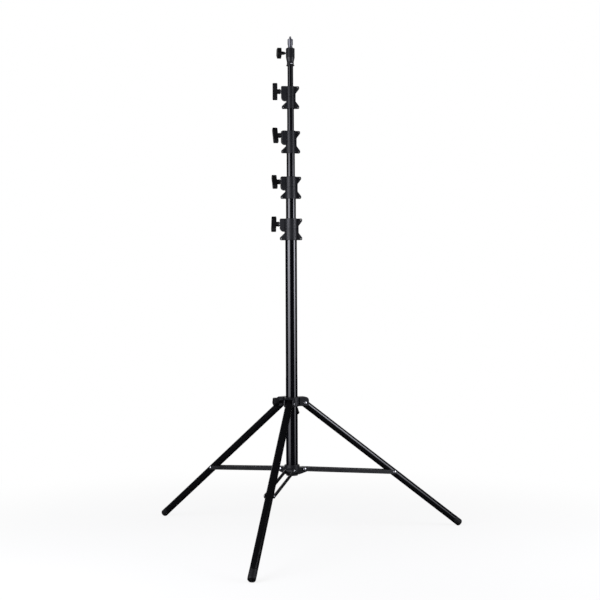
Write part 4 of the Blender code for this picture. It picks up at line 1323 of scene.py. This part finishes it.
class LIGHTSTAND_OT_braces(bpy.types.Operator):
    """The flat brace strips and the rivets that tie them to the legs"""

    bl_idname = "light_stand.braces"
    bl_label = "Braces"

    def execute(self, context):
        for leg in LEGS:
            pivot, hinge_axis = joint_place(f"brace_{leg}_fold")
            end = middle_of(f"brace_{leg}_near_rivet_cap", f"brace_{leg}_far_rivet_cap")
            for word in ("near", "far"):
                self.add_strip(leg, word, pivot, end - pivot, hinge_axis)
                self.add_cap(leg, word, end, hinge_axis)
        return {"FINISHED"}

    def add_strip(self, leg, word, pivot, along, hinge_axis):
        node = f"brace_{leg}_{word}_strip"
        low, high = span_along(node, pivot, hinge_axis)
        length = along.length
        half = 6.0 * MM
        bend = 0.97 * half
        outline = [
            (-half, -half, bend),
            (length + half, -half, bend),
            (length + half, half, bend),
            (-half, half, bend),
        ]
        strip = slab(rounded(outline, 8), high - low, 0.45 * MM)
        holes = [shifted(rod(RIVET_HOLE, low - high, high - low), at, 0.0, 0.0) for at in (0.0, length)]
        place = axes_at(pivot + hinge_axis * ((low + high) / 2), hinge_axis, along.normalized())
        mesh = carved(strip, node, [], holes)
        add_piece(mesh, f"{node}_painted", f"brace_{leg}", "black_brace", [node], place)

    def add_cap(self, leg, word, end, hinge_axis):
        node = f"brace_{leg}_{word}_rivet_cap"
        outward = hinge_axis if (middle_of(node) - end).dot(hinge_axis) > 0.0 else -hinge_axis
        inner, outer = span_along(node, end, outward)
        profile = rivet_head(outer - RIVET_CROWN - SEAT_GAP) + [(RIVET_SHANK, inner), (0.0, inner)]
        mesh = mesh_from(turned(profile, 32), node)
        place = axes_at(end, outward, UP)
        add_piece(mesh, f"{node}_steel", f"brace_{leg}", "steel_fastener", [node], place)


class LIGHTSTAND_OT_legs(bpy.types.Operator):
    """The three legs and their rubber tips"""

    bl_idname = "light_stand.legs"
    bl_label = "Legs"

    def execute(self, context):
        for leg in LEGS:
            tube, tip = f"leg_{leg}_tube", f"leg_{leg}_foot_tip"
            pivot, hinge_axis = joint_place(f"leg_{leg}_fold")
            direction = (middle_of(tube) - pivot).normalized()
            place = axes_at(pivot, direction, hinge_axis)
            left, right = span_along(tube, pivot, hinge_axis)
            mesh = leg_mesh(tube, *span_along(tube, pivot, direction), (right - left) / 2)
            add_piece(mesh, f"{tube}_painted", f"leg_{leg}", "black_leg", [tube], place)
            stem = right - 1.5 * MM
            left, right = span_along(tip, pivot, hinge_axis)
            mesh = tip_mesh(tip, *span_along(tip, pivot, direction), (right - left) / 2, stem, place)
            add_piece(mesh, f"{tip}_rubber", f"leg_{leg}", "foot_rubber", [tip])
        return {"FINISHED"}


def leg_mesh(node, near, far, outer):
    """A leg's tube along Z, drilled through for its rivet."""
    across = Matrix.Rotation(math.pi / 2, 4, "Y")
    hole = moved(rod(RIVET_HOLE, -2 * outer, 2 * outer), across)
    return carved(turned(tube_wall(outer, 1.2 * MM, near, far), 64), node, [], [hole])


def tip_mesh(node, near, far, outer, stem, place):
    """A ribbed rubber tip in the world, turned along the leg and cut flat at the floor."""
    shoulder = near + 25.0 * MM
    rib = 0.30 * MM
    recess = far - 0.9 * MM
    corners = [(0.0, near), (stem, near, rib), (stem, shoulder), (outer, shoulder, rib)]
    for along in (4.0, 8.0, 12.0, 16.0, 20.0):
        ring = shoulder + along * MM
        corners += [(outer, ring - 2 * rib), (outer - rib, ring - rib)]
        corners += [(outer - rib, ring + rib), (outer, ring + 2 * rib)]
    corners += [(outer, far, 4.2 * MM), (6.2 * MM, far, 0.3 * MM), (5.6 * MM, recess)]
    corners += [(3.8 * MM, recess), (3.2 * MM, far, 0.3 * MM), (0.0, far)]
    shape = moved(lathe(corners, 6, 64), place)
    cut = bmesh.ops.bisect_plane(
        shape,
        geom=shape.verts[:] + shape.edges[:] + shape.faces[:],
        dist=0.0001 * MM,
        plane_co=(0.0, 0.0, 0.0),
        plane_no=UP,
        clear_inner=True,
    )
    rim = [item for item in cut["geom_cut"] if isinstance(item, bmesh.types.BMEdge)]
    bmesh.ops.edgenet_fill(shape, edges=rim)
    bmesh.ops.recalc_face_normals(shape, faces=shape.faces)
    return mesh_from(shape, node)


class LIGHTSTAND_OT_inner_pieces(bpy.types.Operator):
    """Finishes for the plugs and brake shoes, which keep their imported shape"""

    bl_idname = "light_stand.inner_pieces"
    bl_label = "Plugs and Shoes"

    def execute(self, context):
        for node, piece in frame["nodes"].items():
            if piece.hide_render:
                continue
            material = finish_for("black_nylon" if node == "base_plug" else "grey_nylon")
            for holder in piece.material_slots:
                holder.material = material
            if not piece.material_slots:
                piece.data.materials.append(material)
        return {"FINISHED"}


# Studio


def softbox(name, place, away, width, height, radiance, levels):
    """An upright softbox that faces the column. Levels are its brightness from foot to top."""
    lamp = bpy.data.lights.new(name, "AREA")
    lamp.shape = "RECTANGLE"
    lamp.size = width
    lamp.size_y = height
    lamp.energy = radiance * math.pi * width * height
    lamp.color = (0.90, 0.91, 1.0)
    lamp.use_nodes = True
    tree = lamp.node_tree
    across = tree.nodes.new("ShaderNodeNewGeometry")
    split = tree.nodes.new("ShaderNodeSeparateXYZ")
    fade = tree.nodes.new("ShaderNodeValToRGB")
    stops = fade.color_ramp.elements
    for position in (0.20, 0.36, 0.50, 0.62, 0.80):
        stops.new(position)
    for stop, level in zip(stops, levels):
        stop.color = (level, level, level, 1.0)
    wire(
        tree,
        (across, "Parametric", split, "Vector"),
        (split, "Y", fade, "Fac"),
        (fade, "Color", tree.nodes["Emission"], "Strength"),
    )
    holder = shown(lamp, name)
    holder.matrix_world = axes_at(place, away, UP.cross(away))
    holder.visible_camera = False


class LIGHTSTAND_OT_studio(bpy.types.Operator):
    """Floor, white surroundings, soft lamps and the camera"""

    bl_idname = "light_stand.studio"
    bl_label = "Studio"

    def execute(self, context):
        studio = settings().studio
        context.scene.camera = self.photo_camera(studio)
        self.add_floor()
        context.scene.world = self.white_world(studio.fill)
        self.add_lamps(studio)
        context.scene.view_settings.view_transform = "Standard"
        return {"FINISHED"}

    def photo_camera(self, studio):
        picture = 600.0
        lens = bpy.data.cameras.new("photo_camera")
        lens.lens = studio.lens
        lens.sensor_width = 36.0
        lens.shift_x = (picture / 2 - studio.column_x) / picture
        lens.shift_y = (studio.horizon_y - picture / 2) / picture
        camera = shown(lens, "photo_camera")
        away = Vector((math.sin(studio.camera_azimuth), -math.cos(studio.camera_azimuth), 0.0))
        place = column_point(studio.camera_height) + away * studio.camera_distance
        level = axes_at(place, away, UP.cross(away))
        camera.matrix_world = level @ Matrix.Rotation(-studio.camera_roll, 4, "Z")
        return camera

    def add_floor(self):
        shape = bmesh.new()
        bmesh.ops.create_grid(shape, x_segments=1, y_segments=1, size=40.0)
        floor = shown(mesh_from(shape, "floor"), "floor")
        floor.data.materials.append(floor_material())

    def white_world(self, fill):
        """White for what looks straight at it, and a fill for what it lights."""
        world = bpy.data.worlds.new("studio")
        world.use_nodes = True
        tree = world.node_tree
        background = tree.nodes["Background"]
        background.inputs["Color"].default_value = WHITE
        level = add_node(tree, "ShaderNodeMapRange", {"To Min": fill, "To Max": 1.0})
        wire(
            tree,
            (seen_directly(tree), "Value", level, "Value"),
            (level, "Result", background, "Strength"),
        )
        return world

    def add_lamps(self, studio):
        """Two tall softboxes, and dark flags between them that only reflections see."""
        facing = studio.camera_azimuth - math.pi / 2
        for name, near, far, radiance, levels in (
            ("left_strip", -68.0, -25.0, studio.left_light, (0.26, 0.42, 0.74, 1.0, 0.80, 0.34, 0.16)),
            ("right_strip", 56.0, 80.0, studio.right_light, (0.12, 0.30, 0.70, 1.0, 0.60, 0.15, 0.08)),
        ):
            angle = facing + math.radians((near + far) / 2)
            away = Vector((math.cos(angle), math.sin(angle), 0.0))
            width = 2 * studio.lamp_distance * math.tan(math.radians((far - near) / 2))
            place = column_point(studio.lamp_top / 2) + away * studio.lamp_distance
            softbox(name, place, away, width, studio.lamp_top, radiance, levels)
        self.add_flags(facing)

    def add_flags(self, facing):
        """Dark curtains most of the way round, a dark ceiling and floor cloth, for reflections only."""
        reach = 6.0
        ceiling = 4.5
        spread = math.radians(150.0)
        shape = bmesh.new()
        low = shape.verts.new((reach, 0.0, 0.0))
        high = shape.verts.new((reach, 0.0, ceiling))
        edge = shape.edges.new((low, high))
        moved(shape, Matrix.Rotation(-spread, 4, "Z"))
        bmesh.ops.spin(
            shape,
            geom=[low, high, edge],
            cent=(0.0, 0.0, 0.0),
            axis=UP,
            dvec=(0.0, 0.0, 0.0),
            angle=2 * spread,
            steps=40,
            use_merge=False,
            use_normal_flip=False,
            use_duplicate=False,
        )
        for height in (0.5 * MM, ceiling):
            place = Matrix.Translation((0.0, 0.0, height))
            bmesh.ops.create_circle(shape, cap_ends=True, radius=reach + 0.5, segments=48, matrix=place)
        turn = Matrix.Translation(column_point(0.0)) @ Matrix.Rotation(facing, 4, "Z")
        flags = shown(mesh_from(moved(shape, turn), "dark_flags"), "dark_flags")
        cloth, _, shader = shaded("flag_cloth")
        shader.inputs["Base Color"].default_value = (0.001, 0.001, 0.001, 1.0)
        shader.inputs["Roughness"].default_value = 1.0
        shader.inputs["Specular IOR Level"].default_value = 0.0
        flags.data.materials.append(cloth)
        for kind in ("camera", "diffuse", "shadow", "transmission", "volume_scatter"):
            setattr(flags, f"visible_{kind}", False)


def seen_directly(tree):
    """One for camera, glossy and transmitted rays, and zero for the light that falls on surfaces."""
    path = tree.nodes.new("ShaderNodeLightPath")
    first = add_node(tree, "ShaderNodeMath", operation="MAXIMUM")
    second = add_node(tree, "ShaderNodeMath", operation="MAXIMUM")
    wire(
        tree,
        (path, "Is Camera Ray", first, 0),
        (path, "Is Glossy Ray", first, 1),
        (first, "Value", second, 0),
        (path, "Is Transmission Ray", second, 1),
    )
    return second


def floor_material():
    """Pale paper. What looks straight at it sees it glow near white, so shadows stay light."""
    material, tree, shader = shaded("floor_paper")
    shader.inputs["Base Color"].default_value = (0.80, 0.80, 0.80, 1.0)
    shader.inputs["Roughness"].default_value = 0.9
    shader.inputs["Specular IOR Level"].default_value = 0.1
    glow = add_node(tree, "ShaderNodeEmission", {"Color": WHITE, "Strength": 1.0})
    place = tree.nodes.new("ShaderNodeTexCoord")
    distance = add_node(tree, "ShaderNodeVectorMath", operation="LENGTH")
    spread = {"From Min": 0.5, "From Max": 1.6, "To Min": 0.85, "To Max": 1.0}
    fade = add_node(tree, "ShaderNodeMapRange", spread, interpolation_type="SMOOTHSTEP")
    share = add_node(tree, "ShaderNodeMath", operation="MULTIPLY")
    mix = tree.nodes.new("ShaderNodeMixShader")
    wire(
        tree,
        (place, "Object", distance, 0),
        (distance, "Value", fade, "Value"),
        (fade, "Result", share, 0),
        (seen_directly(tree), "Value", share, 1),
        (share, "Value", mix, "Fac"),
        (shader, "BSDF", mix, 1),
        (glow, "Emission", mix, 2),
        (mix, "Shader", tree.nodes["Material Output"], "Surface"),
    )
    return material


# Add-on


class LIGHTSTAND_PT_builder(bpy.types.Panel):
    """Sizes, colours and the operators in building order"""

    bl_label = "Light Stand"
    bl_idname = "LIGHTSTAND_PT_builder"
    bl_space_type = "VIEW_3D"
    bl_region_type = "UI"
    bl_category = "Light Stand"

    def draw(self, context):
        stand = context.scene.light_stand
        for title, group in (
            ("Sizes", stand.sizes),
            ("Colours", stand.colours),
            ("Studio", stand.studio),
        ):
            box = self.layout.box()
            box.label(text=title)
            for name in group.__annotations__:
                box.prop(group, name)
        column = self.layout.column(align=True)
        for operator in OPERATORS:
            column.operator(operator.bl_idname)


SETTINGS = (StandSizes, StandColours, StudioSettings, StandSettings)
OPERATORS = (
    LIGHTSTAND_OT_studio,
    LIGHTSTAND_OT_column_tubes,
    LIGHTSTAND_OT_clamp_collars,
    LIGHTSTAND_OT_clamp_knobs,
    LIGHTSTAND_OT_head,
    LIGHTSTAND_OT_spider,
    LIGHTSTAND_OT_lower_collar,
    LIGHTSTAND_OT_braces,
    LIGHTSTAND_OT_legs,
    LIGHTSTAND_OT_inner_pieces,
)
CLASSES = SETTINGS + OPERATORS + (LIGHTSTAND_PT_builder,)


def register():
    for cls in CLASSES:
        bpy.utils.register_class(cls)
    bpy.types.Scene.light_stand = PointerProperty(type=StandSettings)


def unregister():
    del bpy.types.Scene.light_stand
    for cls in reversed(CLASSES):
        bpy.utils.unregister_class(cls)


def main():
    register()
    bpy.ops.light_stand.studio()
    bpy.ops.light_stand.column_tubes()
    bpy.ops.light_stand.clamp_collars()
    bpy.ops.light_stand.clamp_knobs()
    bpy.ops.light_stand.head()
    bpy.ops.light_stand.spider()
    bpy.ops.light_stand.lower_collar()
    bpy.ops.light_stand.braces()
    bpy.ops.light_stand.legs()
    bpy.ops.light_stand.inner_pieces()


if __name__ == "__main__":
    main()
